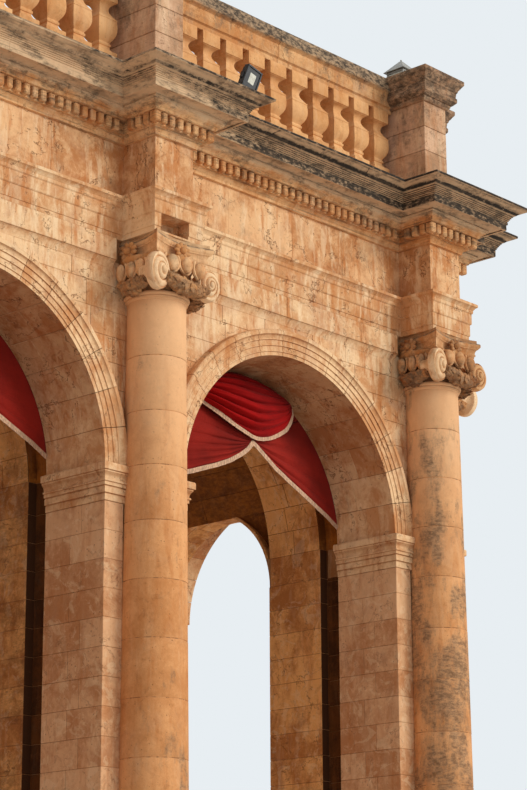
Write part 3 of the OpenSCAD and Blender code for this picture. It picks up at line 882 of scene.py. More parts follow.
def pier_stones(heap, backs, i, side):
    """Courses of a pier: side is -1 at the front and 1 at the rear

    The stones at the back of a corner pier's groove go to backs
    """
    s = sizes()
    gap = s.joint / 2
    turn = -1 if i == 0 else 1
    count = round(IMPOST_Z / s.course)
    rise = IMPOST_Z / count
    for j in range(count + 1):
        z0 = j * rise
        z1 = z0 + rise if j < count else IMPOST_Z + 0.04
        shift = 0.09 if j % 2 else -0.06
        for (x0, x1), (y0, y1) in pier_boxes(i in (0, 3)):
            a, b = (y + shift if y in JAMB_JOINTS else y for y in (y0, y1))
            jut = heap.rng.uniform(-0.0015, 0.0015)
            block(backs if y0 > WALL_T else heap,
                  (COLUMN_X[i] + turn * (x0 - jut), side * (HALF_DEP - a - gap), z0 + gap),
                  (COLUMN_X[i] + turn * (x1 + jut), side * (HALF_DEP - b + gap), z1 - gap))


def cross_stones(heap, backs, i):
    """Courses of the wall behind a pier, on both sides of the small arch

    At the ends the outer part of the wall stands back from the inner part
    """
    s = sizes()
    p = s.proud
    gap = s.joint / 2
    outer = i in (0, 3)
    turn = -1 if i == 0 else 1
    count = round(SMALL_SPRING / s.course)
    levels = [SMALL_SPRING * j / count for j in range(count + 1)] + [SPRING]
    groove = (-WALL_HALF - p, (END_FACE if outer else WALL_HALF) + p)
    rib = (-HALF_PIER - p, (END_FACE if outer else HALF_PIER) + p)
    groove_y = 1.68 if outer else INNER_Y
    for j, (z0, z1) in enumerate(zip(levels, levels[1:])):
        over, face = (0.02, STEP_BACK - 0.03) if z0 > SMALL_SPRING - 0.01 else (-p, STEP_BACK + p)
        parts = [(rib[0], face, SMALL_R), (STEP_BACK + p + 2 * gap, rib[1], OUTER_R)]
        if not outer:
            split = 0.12 if j % 2 else -0.1
            parts = [(rib[0], split - gap, SMALL_R), (split + gap, rib[1], SMALL_R)]

        def course_block(to, x0, x1, y0, y1):
            block(to, (COLUMN_X[i] + turn * x0, y0, z0 + gap),
                  (COLUMN_X[i] + turn * x1, y1, z1 - gap))
        for side in (-1, 1):
            for x0, x1, half in parts:
                course_block(heap, x0, x1, side * (half + over), side * (RIB_Y + p))
            course_block(backs, *groove, side * RIB_Y, side * groove_y)


def front_place(side, recess=RECESS):
    """Places (along, up, out) on the recessed face of a front"""
    return lambda u, z, w: (u, side * (HALF_DEP - recess + w), z)


def end_place(side):
    """Places (along, up, out) on the recessed face of an end"""
    return lambda u, z, w: (side * (HALF_LEN - RECESS + w), u, z)


def front_wall(heap, side):
    """Spandrels, the band between the capitals and the cove under it"""
    far = HALF_LEN - RECESS
    wall(heap, front_place(side), (-far, far), (SPRING, BAND_Z),
         [(x, SPRING, RING_R - 0.04) for x in BAY_X])
    cove = [(-RECESS - 0.02, BAND_Z - 0.075), (-RECESS + 0.008, BAND_Z - 0.075),
            (-RECESS + 0.012, BAND_Z - 0.055), (-0.02, BAND_Z - 0.012), (-0.006, BAND_Z),
            (-0.006, BAND_Z + 0.004), (-RECESS - 0.02, BAND_Z + 0.004)]
    for x in BAY_X:
        wall(heap, front_place(side, 0), (x - BAND_HALF, x + BAND_HALF), (BAND_Z, ARCHITRAVE_Z),
             lengths=(0.8, 1.2), depth=0.05)
    for x in BAY_X:
        path = [(x + u, side * HALF_DEP, 0, side) for u in (-BAND_HALF, BAND_HALF)]
        heap.add(sweep(cove, path))


def wall_pieces():
    """The coursed stones of the walls, piers and cross walls"""
    backs = Heap(33)
    for side, name in FRONTS:
        heap = Heap(11 + side)
        front_wall(heap, side)
        heap.build("wall_stones_" + name, "wall", "wall")
        heap = Heap(21 + side)
        for i in range(4):
            pier_stones(heap, backs, i, side)
        heap.build("pier_stones_" + name, "jamb", "piers")
    heap = Heap(31)
    for side in (-1, 1):
        wall(heap, end_place(side), (-HALF_DEP + RECESS, HALF_DEP - RECESS),
             (SPRING, ARCHITRAVE_Z), [(0, SMALL_SPRING, OUTER_RING_R - 0.04)])
    heap.build("wall_stones_ends", "wall", "wall")
    heap = Heap(32)
    for i in range(4):
        cross_stones(heap, backs, i)
    heap.build("cross_wall_stones", "rib", "wall")
    # The groove backs take the groove look, painted shade
    backs.build("groove_stones", "groove", "wall")


def ring_profile(r, width, back):
    """Section of an archivolt, from the inner edge outwards: (radius, out)"""
    drawn = 0.265  # the width that the steps are given for
    k = width / drawn
    steps = [(0.0, 0.002), (0.034, 0.002), (0.038, 0.011), (0.050, 0.011), (0.054, 0.006),
             (0.092, 0.006), (0.096, 0.017), (0.108, 0.017), (0.112, 0.012), (0.150, 0.012),
             (0.154, 0.024), (0.166, 0.024), (0.171, 0.020), (0.190, 0.025), (0.205, 0.033),
             (0.210, 0.042), (0.246, 0.042), (0.258, 0.032), (drawn, 0.0)]
    points = [(r + a * k, b) for a, b in steps]
    return points + [(r + width, -RECESS - 0.02), (r + 0.09, -RECESS - 0.03), (r + 0.09, back),
                     (r, back)]


def ring_sector(section, angle, steps):
    """A voussoir: the section of (radius, out) points spun about the Y axis"""
    bm = bmesh.new()
    face = bm.faces.new([bm.verts.new((a, -b, 0)) for a, b in section])
    bmesh.ops.spin(bm, geom=[face], cent=(0, 0, 0), axis=(0, 1, 0), angle=angle, steps=steps)
    return Shape(sealed(bm))


def arch_points(points, angle, x, y, z, turn):
    """Points of a sector turned to its place in the arch, and the arch to its wall"""
    c, s = math.cos(angle), math.sin(angle)
    moved = np.stack((points[:, 0] * c + points[:, 2] * s, points[:, 1],
                      -points[:, 0] * s + points[:, 2] * c), 1)
    return turned(moved, turn, x, y, z)


def front_arches(heap, side):
    """Voussoirs of the three large arches, long and short by turns, with their soffits"""
    p = sizes().proud
    step = math.pi / VOUSSOIRS
    depths = (0.36, 0.47)
    turn = 0.0 if side < 0 else math.pi
    shapes = [ring_sector(ring_profile(ARCH_R - p, RING_R - ARCH_R + p, -depth),
                          step - 2 * RING_GAP, 5) for depth in depths]
    for x in BAY_X:
        for k in range(VOUSSOIRS):
            shape, depth = shapes[k % 2], depths[k % 2]
            low, high = k * step + RING_GAP, (k + 1) * step - RING_GAP
            heap.stamp(shape, arch_points(shape.points, -(k * step) - step + RING_GAP, x,
                                          side * HALF_DEP, SPRING, turn))
            bent_block(heap, lambda r, a, y: (
                x + r * np.cos(a), side * (HALF_DEP - y), SPRING + r * np.sin(a)),
                (depth + 0.004, WALL_T + p), (ARCH_R - p, ARCH_R + 0.07), (low, high))


def arch_rings():
    """Voussoirs of the large arches and of the end arches"""
    for side, name in FRONTS:
        heap = Heap(41 + side)
        front_arches(heap, side)
        heap.build("arch_stones_" + name, "arch", "moulding", ["archivolts_" + name])
    heap = Heap(45)
    p = sizes().proud
    step = math.pi / VOUSSOIRS
    shape = ring_sector(ring_profile(OUTER_R - p, OUTER_RING_R - OUTER_R + p,
                                     ORDER_X - HALF_LEN + p), step - 2 * RING_GAP, 4)
    for side in (-1, 1):
        for k in range(VOUSSOIRS):
            heap.stamp(shape, arch_points(shape.points, -(k * step) - step + RING_GAP,
                                          side * HALF_LEN, 0, SMALL_SPRING, math.pi / 2 * side))
    heap.build("arch_stones_ends", "arch", "moulding", ["archivolts_end"])


def vault_courses(heap, ribs):
    """Courses that line the vaults, between the ribs and under them"""
    p = sizes().proud
    deep = ARCH_R + 0.1
    rings = [(ARCH_R, SMALL_R, RIB_Y), (ARCH_R, -RIB_Y, -SMALL_R), (deep, RIB_Y, INNER_Y),
             (deep, -INNER_Y, -RIB_Y), (deep, -SMALL_R, SMALL_R)]
    count = 19
    step = math.pi / count
    for x in BAY_X:
        for radius, y0, y1 in rings:
            for k in range(count):
                low, high = k * step, (k + 1) * step
                middle = radius > ARCH_R and y1 - y0 > 1
                if middle and SPRING + radius * math.sin(high) < VAULT_FOOT:
                    continue
                pieces = 1 if y1 - y0 < 0.5 else 2
                cuts = [y0 + (y1 - y0) * (n / pieces + (0.1 if n % pieces and k % 2 else 0))
                        for n in range(pieces + 1)]
                for a, b in zip(cuts, cuts[1:]):
                    bent_block(heap if radius > ARCH_R else ribs, lambda r, t, y: (
                        x + r * np.cos(t), y, SPRING + r * np.sin(t)),
                        (a + 0.003, b - 0.003), (radius - p, radius + 0.03),
                        (low + 0.0015, high - 0.0015))


def small_arch_courses(ribs):
    """Courses that line the small arches; those at the ends have an outer order"""
    p = sizes().proud
    count = 13
    step = math.pi / count
    for i, x in enumerate(COLUMN_X):
        turn = -1 if i == 0 else 1
        for k in range(count):
            angles = (k * step + 0.002, (k + 1) * step - 0.002)
            cuts = [-HALF_PIER, 0.12 if k % 2 else -0.1, HALF_PIER]
            if i in (0, 3):
                cuts = [-HALF_PIER, STEP_BACK - (0.22 if k % 2 else 0.3)]
            parts = [(a + 0.003, b - 0.003, SMALL_R + 0.03) for a, b in zip(cuts, cuts[1:])]
            if i in (0, 3):
                parts.append((cuts[-1] + 0.003, STEP_BACK + p, OUTER_R - 0.004))
            for a, b, rim in parts:
                bent_block(ribs, lambda r, t, at: (
                    x + turn * at, r * np.cos(t), SMALL_SPRING + r * np.sin(t)),
                    (a, b), (SMALL_R - p, rim), angles)


def vault_stones():
    heap, ribs = Heap(51), Heap(52)
    vault_courses(heap, ribs)
    small_arch_courses(ribs)
    # The vault stones take the inside look: painted shade with blotches
    heap.build("vault_stones", "inside", "vault")
    ribs.build("vault_rib_stones", "rib", "vault")


def impost_section():
    return [(-0.03, IMPOST_Z), (0.010, IMPOST_Z), (0.012, 5.024), (0.012, 5.076),
            (0.008, 5.080), (0.008, 5.084), (0.026, 5.090), (0.026, 5.142), (0.020, 5.146),
            (0.020, 5.150), (0.036, 5.156), (0.036, 5.186), (0.048, 5.190), (0.050, 5.200),
            (0.046, 5.208), (0.036, 5.212), (0.038, 5.232), (0.046, 5.252), (0.060, 5.268),
            (0.064, 5.274), (0.064, 5.284), (0.079, 5.290), (0.080, 5.296), (0.080, 5.346),
            (0.074, 5.357), (-0.03, 5.357)]


def imposts():
    section = impost_section()
    near = 0.262
    for side, name in FRONTS:
        heap = Heap(61 + side)
        for i, x in enumerate(COLUMN_X):
            for hand in (-1, 1):
                outward = (i == 0 and hand < 0) or (i == 3 and hand > 0)
                depth = CORNER_RETURN if outward else WALL_T
                path = [(x + hand * near, side * HALF_DEP, 0, side),
                        (x + hand * HALF_PIER, side * HALF_DEP, hand, side),
                        (x + hand * HALF_PIER, side * (HALF_DEP - depth), hand, 0)]
                heap.add(sweep(section, path))
        heap.build("impost_mouldings_" + name, "arch", "moulding", ["imposts_" + name], 25)
    heap = Heap(63)
    for end in (-1, 1):
        for side in (-1, 1):
            path = [(end * HALF_LEN, side * (END_Y - near), end, 0),
                    (end * HALF_LEN, side * (END_Y - HALF_PIER), end, -side),
                    (end * (HALF_LEN - RECESS), side * (END_Y - HALF_PIER), 0, -side)]
            heap.add(sweep(section, path))
    heap.build("impost_mouldings_ends", "arch", "moulding", ["imposts_cross"], 25)


# Columns

def column_places(group):
    """Turn and axis of each column of a group; an unturned column faces -Y"""
    front = HALF_DEP + COLUMN_OUT
    if group == "front":
        return [(0.0, x, -front) for x in COLUMN_X]
    if group == "rear":
        return [(math.pi, x, front) for x in COLUMN_X]
    far = HALF_LEN + COLUMN_OUT
    return [(side * math.pi / 2, side * far, y) for side in (1, -1) for y in (-END_Y, END_Y)]


def shaft_radius(z):
    return FOOT_R + (NECK_R - FOOT_R) * (z - BASE_TOP) / (NECK - BASE_TOP)


def drum_shape():
    """A unit drum with chipped rims"""
    bm = bmesh.new()
    bmesh.ops.create_cone(bm, cap_ends=True, segments=72, radius1=1, radius2=1, depth=1)
    chamfer(bm, [e for e in bm.edges if any(len(f.verts) > 4 for f in e.link_faces)], BEVEL, 2)
    return Shape(bm)


def drums(heap, shape, turn, x, y, joints):
    """The drums of a shaft between its joints, each a little uneven"""
    levels = [BASE_TOP] + sorted(joints) + [RING_Z + 0.004]
    proud, gap = 0.003, 0.0022
    angle = np.arctan2(shape.points[:, 1], shape.points[:, 0])
    flat = np.hypot(shape.points[:, 0], shape.points[:, 1])
    rise = np.minimum((0.5 - np.abs(shape.points[:, 2])) / BEVEL, 1.0)
    for z0, z1 in zip(levels, levels[1:]):
        seed = heap.rng.uniform(0, 50)
        chip = 0.005 + 0.003 * np.sin(7 * angle + seed)
        z = np.where(shape.points[:, 2] > 0, z1 - gap - rise * chip, z0 + gap + rise * chip)
        inset = np.where(flat > 0.5, (1 - flat) / BEVEL * chip, 0)
        radius = shaft_radius(z) + proud - inset + 0.0012 * np.sin(3 * angle + seed)
        share = radius / np.maximum(flat, 1e-9)
        points = np.stack((shape.points[:, 0] * share, shape.points[:, 1] * share, z), 1)
        heap.stamp(shape, turned(points, turn, x, y))


def columns():
    """Drums over a mortar core, with the astragal at the neck"""
    shape = drum_shape()
    core = Shape(lathe([(0, BASE_TOP), (FOOT_R - 0.0005, BASE_TOP), (NECK_R - 0.0005, NECK),
                        (0, NECK)], 72))
    r, z = NECK_R, RING_Z
    ring = [(0, z), (r + 0.004, z), (r + 0.01, z + 0.01), (r + 0.022, z + 0.015),
            (r + 0.024, z + 0.03), (r + 0.016, z + 0.034)]
    ring += arc(r + 0.016, z + 0.057, 0.022, -80, 80, 10) + [(r + 0.008, z + 0.08), (0, z + 0.08)]
    astragal = Shape(lathe(ring, 72))
    measured = {2: DRUMS_A, 3: DRUMS_B}
    pitch = sizes().drum
    for number, group in enumerate(COLUMN_GROUPS):
        heap = Heap(71 + number)
        for i, (turn, x, y) in enumerate(column_places(group)):
            heap.stand(core, turn, x, y, MORTAR)
            heap.stand(astragal, turn, x, y)
            if group == "front" and i in measured:
                joints = measured[i]
            else:
                top = 6.385 + heap.rng.uniform(0, 0.12)
                joints = [top - pitch * k + heap.rng.uniform(-0.015, 0.015)
                          for k in range(9) if top - pitch * k > BASE_TOP + 0.15]
            drums(heap, shape, turn, x, y, joints)
        heap.build("column_drums_" + group, "column", "column", ["column_shafts_" + group], 30)


def column_bases():
    """Moulded bases on their square blocks"""
    r = FOOT_R
    base = [(0, PEDESTAL_H + 0.09), (r * 1.33, PEDESTAL_H + 0.09)]
    base += arc(r * 1.26, 1.6815, 0.034, -70, 80, 8)
    base += [(r * 1.17, 1.717), (r * 1.17, 1.727)] + arc(r * 1.22, 1.748, 0.035, 235, 125, 6)
    base += [(r * 1.12, 1.772), (r * 1.12, 1.78)] + arc(r * 1.12, 1.799, 0.02, -80, 80, 6)
    base += [(r * 1.06, 1.822), (r * 1.06, 1.836), (r * 1.02, BASE_TOP), (0, BASE_TOP)]
    shape = Shape(lathe(base, 64))
    heap = Heap(81)
    half, behind = r * 1.36, 0.19
    block_points = fitted(BLOCK.points, (2 * half, half + behind, 0.1), 0.006)
    block_points = block_points + (0, (behind - half) / 2, PEDESTAL_H + 0.05)
    for group in COLUMN_GROUPS:
        for turn, x, y in column_places(group):
            heap.stand(shape, turn, x, y)
            heap.stamp(BLOCK, turned(block_points, turn, x, y))
    heap.build("column_base_mouldings", "column", "column", ["column_bases"], 30)


def column_pedestals():
    """Pedestals in three courses of two blocks, with a moulded foot and cap"""
    heap = Heap(82)
    w = 0.432
    foot = [(-0.1, 0.0), (0.05, 0.0), (0.05, 0.14), (0.044, 0.148), (0.03, 0.152), (0.028, 0.165),
            (0.012, 0.19), (0.002, 0.2), (-0.1, 0.2)]
    cap = [(-0.1, 1.425), (0.002, 1.425), (0.006, 1.436), (0.018, 1.44), (0.02, 1.452),
           (0.032, 1.462), (0.042, 1.472), (0.045, 1.482), (0.045, 1.535), (0.039, 1.547),
           (-0.1, 1.547)]
    path = [(-w, COLUMN_OUT, -1, 0), (-w, -w, -1, -1), (w, -w, 1, -1), (w, COLUMN_OUT, 1, 0)]
    rims = [Shape(sweep(section, path)) for section in (foot, cap)]
    levels = [0.0, 0.62, 1.04, PEDESTAL_H - 0.005]
    gap = 0.005
    for group in COLUMN_GROUPS:
        for turn, x, y in column_places(group):
            for rim in rims:
                heap.stand(rim, turn, x, y)
            for z0, z1 in zip(levels, levels[1:]):
                split = heap.rng.choice((-0.12, 0.1, 0.0))
                for a, b in ((-w, split), (split, w)):
                    size = (b - a - gap, w + COLUMN_OUT, z1 - z0 - gap)
                    points = fitted(BLOCK.points, size, 0.005)
                    points = points + ((a + b) / 2, (COLUMN_OUT - w) / 2, (z0 + z1) / 2)
                    heap.stamp(BLOCK, turned(points, turn, x, y))
    heap.build("column_pedestal_stones", "jamb", "column", ["column_pedestals"], 30)


# Capitals. Local to the column axis, facing -Y

VOLUTE_X = 0.325
VOLUTE_Z = 7.132
VOLUTE_W = 0.14
VOLUTE_H = 0.175
VOLUTE_Y = -0.365
VOLUTE_TURN = math.radians(9)


def relief(share, angle, hand):
    """Height of the carved spiral at a share of the radius and an angle"""
    turns, eye = 2.4, 0.2
    if share < eye:
        return 0.052 + 0.02 * math.sqrt(max(0.0, 1 - (share / eye) ** 2))
    line = (1 - share) / (1 - eye)
    curve = math.log(1 / share) / math.log(1 / eye)
    along = turns * (0.5 * line + 0.5 * curve)
    part = (along - hand * angle / (2 * math.pi)) % 1.0
    dome = 0.05 * (1 - share)
    if part < 0.78:
        return dome + 0.004 + 0.014 * math.sin(math.pi * part / 0.78) ** 0.5
    return dome + 0.004 - 0.016 * math.sin(math.pi * (part - 0.78) / 0.22) ** 0.7


def volute(hand):
    """A scroll with a carved face; the one on the right is worn down"""
    wear = 0.85 if hand > 0 else 1.0
    around, front = 72, 34
    back = [(1.0, -0.006), (1.02, 0.008), (1.035, 0.03), (1.035, 0.05), (1.0, 0.066),
            (0.85, 0.074), (0.6, 0.085), (0.45, 0.12), (0.4, 0.2), (0.0, 0.2)]
    rows = front + len(back)
    c, s = math.cos(-hand * VOLUTE_TURN), math.sin(-hand * VOLUTE_TURN)

    def where(i, j):
        angle = 2 * math.pi * (i % around) / around
        if j < front:
            share = j / front
            depth = -relief(share, angle, hand)
        else:
            share, depth = back[j - front]
        x = VOLUTE_W * wear * share * math.cos(angle)
        return (VOLUTE_X * hand + x * c - depth * s, VOLUTE_Y + x * s + depth * c,
                VOLUTE_Z + VOLUTE_H * wear * share * math.sin(angle))
    return bend(around + 1, rows, where)


def abacus():
    """Concave moulded slab over the scrolls"""
    plan = []
    half, steps = 0.352, 12
    for side in range(4):
        turn = math.radians(90 * side)
        for k in range(steps + 1):
            x = -half + 2 * half * k / steps
            y = -half + 0.085 * math.cos(math.pi * x / (2 * half))
            plan.append((x * math.cos(turn) - y * math.sin(turn),
                         x * math.sin(turn) + y * math.cos(turn)))
    profile = [(0.9, ABACUS_Z), (0.93, 7.338), (0.93, 7.358), (0.96, 7.364), (0.96, 7.382),
               (0.945, 7.388), (0.95, 7.404), (0.97, 7.425), (1.0, 7.436), (1.03, 7.44),
               (1.03, 7.45), (1.05, 7.454), (1.078, 7.468), (1.078, 7.495), (1.06, 7.503),
               (1.0, 7.505), (0.995, 7.539)]
    n = len(plan)

    def where(i, j):
        x, y = plan[i % n]
        share, z = profile[j]
        return x * share, y * share, z
    return bend(n + 1, len(profile), where)


def egg(x, y, z, angle, wide, tall):
    """One egg and the thick rim of its shell, facing -Y and then turned about its own middle"""
    bm = bmesh.new()
    bmesh.ops.create_uvsphere(bm, u_segments=16, v_segments=12, radius=1)
    for vert in bm.verts:
        a, b, c = vert.co
        narrow = 1.0 - 0.25 * max(0.0, -c)
        vert.co = (a * 0.42 * wide * narrow, b * 0.36 * wide, c * 0.47 * tall)
    made = [Shape(bm)]
    points, radii = [], []
    for k in range(15):
        a = math.radians(40 - 260 * k / 14)
        points.append((0.56 * wide * math.cos(a), 0.1 * wide, 0.02 + 0.54 * tall * math.sin(a)))
        radii.append(0.11 * wide)
    made.append(Shape(tube(points, radii, 7, (0, 1, 0))))
    return [(shape, turned(shape.points, angle, x, y, z)) for shape in made]


def leaf_shape():
    """A pointed leaf with a rib, lying along +X"""
    def where(i, j):
        u, v = i / 4, j / 2 - 1
        width = math.sin(math.pi * (0.12 + 0.85 * u) ** 0.8) * 0.36
        return u, v * width, 0.16 * math.sin(math.pi * u) - 0.14 * abs(v) * width * 2
    bm = sheet_of(5, 5, where)
    bmesh.ops.solidify(bm, geom=bm.faces[:], thickness=-0.12)
    bmesh.ops.recalc_face_normals(bm, faces=bm.faces[:])
    return Shape(bm)


def festoon(rng, start, low, end, thick):
    """A leafy garland that hangs between two points, as shapes with their points"""
    start, low, end = Vector(start), Vector(low), Vector(end)
    ctrl = 2 * low - (start + end) / 2
    rings, sides, leaves = 44, 30, 46
    sideways = abs(start.x - end.x) < abs(start.y - end.y)

    def place(t):
        return (1 - t) ** 2 * start + 2 * t * (1 - t) * ctrl + t ** 2 * end

    def body(t):
        return thick * (0.5 + 0.5 * math.sin(math.pi * t) ** 0.8)
    points = [place(k / (rings - 1)) for k in range(rings)]
    radii = [body(k / (rings - 1)) for k in range(rings)]
    bm = tube(points, radii, sides)
    for vert in bm.verts:
        near = min(points, key=lambda q: (q - vert.co).length_squared)
        out = (vert.co - near).normalized()
        lump = abs(noise.noise(vert.co * 30)) + 0.6 * abs(noise.noise(vert.co * 62))
        vert.co += out * (0.034 * lump - 0.012)
    core = Shape(bm)
    parts = [(core, core.points)]
    for k in range(leaves):
        t = rng.uniform(0.04, 0.96)
        angle = rng.uniform(-2.4, 0.5)
        size = rng.uniform(0.045, 0.07)
        out = Vector((0, -math.cos(angle), math.sin(angle)))
        if sideways:
            out = Vector((math.copysign(math.cos(angle), start.x), 0, math.sin(angle)))
        spin = Vector((0, 0, 1)).rotation_difference(out).to_matrix()
        spin = spin @ Matrix.Rotation(rng.uniform(0, 6.28), 3, "Z")
        leaf = LEAF.points @ np.array(spin.transposed()) * size
        parts.append((LEAF, leaf + np.array(place(t) + out * body(t) * 0.92)))
    return parts


def fleuron(y, size):
    """A flower in the middle of a side of the abacus, as shapes with their points"""
    z, petals = 7.405, 9
    made = []
    for k in range(petals):
        bm = bmesh.new()
        bmesh.ops.create_icosphere(bm, subdivisions=2, radius=1)
        for vert in bm.verts:
            a, b, c = vert.co
            vert.co = (a * 0.5 + 0.55, b * 0.22 - 0.14 * a, c * 0.3)
        bmesh.ops.rotate(bm, verts=bm.verts[:], cent=(0, 0, 0),
                         matrix=Matrix.Rotation(2 * math.pi / petals * k + 0.3, 3, "Y"))
        bmesh.ops.scale(bm, verts=bm.verts[:], vec=(size, size, size * 0.8))
        bmesh.ops.translate(bm, verts=bm.verts[:], vec=(0, y, z))
        made.append(Shape(bm))
    bm = bmesh.new()
    bmesh.ops.create_icosphere(bm, subdivisions=2, radius=size * 0.34)
    bmesh.ops.translate(bm, verts=bm.verts[:], vec=(0, y - 0.2 * size, z))
    made.append(Shape(bm))
    return [(shape, shape.points) for shape in made]


def capital_parts():
    """The pieces of one capital: their name, their look, and shapes with their points"""
    rng = random.Random(5)
    bell = [(0, 7.0), (NECK_R, 7.0), (NECK_R + 0.004, 7.10), (0.292, 7.118)]
    bell += arc(0.292, 7.132, 0.014, -90, 90, 6) + [(0.29, 7.15), (0.3, 7.17), (0.325, 7.25),
                                                    (0.352, 7.3), (0.362, 7.318), (0.362, 7.34),
                                                    (0, 7.34)]
    core, slab = Shape(lathe(bell, 56)), Shape(abacus())
    leaves, eggs = [(core, core.points)], [(slab, slab.points)]
    leaves += festoon(rng, (-0.26, -0.385, 7.10), (0.03, -0.365, 7.04), (0.27, -0.375, 7.06),
                      0.078)
    for hand in (-1, 1):
        leaves += festoon(rng, (hand * 0.375, -0.24, 7.08), (hand * 0.365, -0.05, 7.03),
                          (hand * 0.31, 0.14, 7.09), 0.072)
    leaves += fleuron(-0.325, 0.1)
    for turn in (-90, 90):
        leaves += [(shape, turned(points, math.radians(turn), 0, 0.04))
                   for shape, points in fleuron(-0.325, 0.115)]
    for x, z in ((-0.145, 7.25), (0.04, 7.265), (0.215, 7.25)):
        eggs += egg(x, -0.35, z, math.radians(60 * x), 0.155, 0.18)
    for hand in (-1, 1):
        for y in (-0.15, -0.025, 0.11):
            eggs += egg(hand * 0.36, y, 7.2, hand * math.pi / 2, 0.11, 0.18)
    scrolls = [Shape(volute(1)), Shape(volute(-1))]
    # The bell, festoons and flowers take the leaf look with its painted shade
    return [("capital_eggs_", "capital", eggs), ("capital_leaves_", "leaf", leaves),
            ("capital_scrolls_", "scroll", [(shape, shape.points) for shape in scrolls])]


def capitals():
    made = capital_parts()
    for number, group in enumerate(COLUMN_GROUPS):
        for name, look, shapes in made:
            heap = Heap(91 + number)
            for turn, x, y in column_places(group):
                tint = heap.rng.random()
                for shape, points in shapes:
                    heap.stamp(shape, turned(points, turn, x, y), tint)
            nodes = ["capitals"] if group == "front" else []
            heap.build(name + group, look, "column", nodes, 50)


# Entablature

FRIEZE_X = 6.605
FRIEZE_Y = 2.61
BREAK_OUT = 0.43
BREAK_HALF = 0.25
LONG_RUN = 1.2  # longer runs have joints between stones
SOCKET = ((1.826, -3.4, 7.562), (2.192, -2.90, 7.727))  # two corners of the open socket


def corners_round():
    """Corners of the frieze round the building, each with the way outwards at it

    The frieze breaks forward over each column
    """
    half = BREAK_HALF
    corners = []
    for c in COLUMN_X:
        corners += [(c - half, -FRIEZE_Y, -1, -1), (c - half, -FRIEZE_Y - BREAK_OUT, -1, -1),
                    (c + half, -FRIEZE_Y - BREAK_OUT, 1, -1), (c + half, -FRIEZE_Y, 1, -1)]
    corners.append((FRIEZE_X, -FRIEZE_Y, 1, -1))
    for c in (-END_Y, END_Y):
        corners += [(FRIEZE_X, c - half, 1, -1), (FRIEZE_X + BREAK_OUT, c - half, 1, -1),
                    (FRIEZE_X + BREAK_OUT, c + half, 1, 1), (FRIEZE_X, c + half, 1, 1)]
    corners.append((FRIEZE_X, FRIEZE_Y, 1, 1))
    return corners + [(-x, -y, -dx, -dy) for x, y, dx, dy in corners]


def outline(pitch, joints, seed):
    """Stations round the entablature: (x, y, dx, dy, groove), and the stone that each is in

    dx and dy carry a station outwards; the joints of long runs are about joints apart
    """
    rng = random.Random(seed)
    corners = corners_round()
    path, stones = [], []
    stone_now = 0
    for a, b in zip(corners, corners[1:] + corners[:1]):
        span = math.hypot(b[0] - a[0], b[1] - a[1])
        count = max(1, round(span / pitch))
        marks = []
        if span > LONG_RUN:
            pieces = max(2, round(span / joints))
            marks = [(k + rng.uniform(-0.12, 0.12)) / pieces for k in range(1, pieces)]
        points = [(k / count, 0.0) for k in range(count)]
        for mark in marks:
            wide = 0.003 / span
            points = [q for q in points if abs(q[0] - mark) > 2.5 * wide or q[0] == 0]
            points += [(mark - wide, 0.0), (mark, 1.0), (mark + wide, 0.0)]
        points.sort()
        for t, groove in points:
            if groove:
                stone_now += 1
            path.append((*(a[n] + (b[n] - a[n]) * t for n in range(4)), groove))
            stones.append(stone_now)
        if span > LONG_RUN or rng.random() < 0.5:
            stone_now += 1
    return path, stones


def band_piece(name, profile, pitch, joints, seed, material, slot, nodes, worn):
    """A moulded band round the building: an outer skin closed at top and bottom"""
    path, stones = outline(pitch, joints, seed)
    n, m = len(path), len(profile)
    rng = random.Random(seed)
    tones = [rng.random() for _ in range(max(stones) + 1)]
    bm, table = grid_of(n + 1, m)
    layer = bm.faces.layers.float.new("tint")
    station_of = {vert: i for (i, j), vert in table.items()}
    for face in bm.faces:
        i = min(station_of[v] for v in face.verts)
        face[layer] = tones[stones[i % n]]
    for (i, j), vert in table.items():
        x, y, dx, dy, groove = path[i % n]
        out, up = profile[j]
        out -= 0.003 * groove
        at = Vector((x * 1.7 + out * 3, y * 1.7, up * 6))
        out += worn * noise.noise(at) + worn * 0.5 * noise.noise(at * 4.3)
        up += 0.35 * worn * noise.noise(at * 2.1 + Vector((9, 0, 0)))
        vert.co = (x + out * dx, y + out * dy, up)
    bmesh.ops.remove_doubles(bm, verts=bm.verts[:], dist=1e-6)
    rims = [e for e in bm.edges if e.is_boundary]
    middle = (profile[0][1] + profile[-1][1]) / 2
    for upper in (False, True):
        edges = [e for e in rims if (e.verts[0].co.z > middle) == upper]
        bmesh.ops.triangle_fill(bm, use_beauty=True, edges=edges)
    bmesh.ops.recalc_face_normals(bm, faces=bm.faces[:])
    heap = Heap(seed)
    heap.add(bm)
    return heap.build(name, material, slot, nodes, 30)


def cut_socket(piece):
    """Cuts an open square socket out of the underside of the architrave"""
    socket = bmesh.new()
    bmesh.ops.create_cube(socket, size=1)
    for vert in socket.verts:
        vert.co = [(a + b) / 2 + c * (b - a) for a, b, c in zip(*SOCKET, vert.co)]
    cut = add_object("cutter", bpy.data.meshes.new("cutter"))
    socket.to_mesh(cut.data)
    socket.free()
    hole = piece.modifiers.new("socket", "BOOLEAN")
    hole.object = cut
    hole.operation = "DIFFERENCE"
    hole.solver = "EXACT"
    graph = bpy.context.evaluated_depsgraph_get()
    mesh = bpy.data.meshes.new_from_object(piece.evaluated_get(graph))
    piece.modifiers.clear()
    piece.data = mesh
    bpy.data.objects.remove(cut)


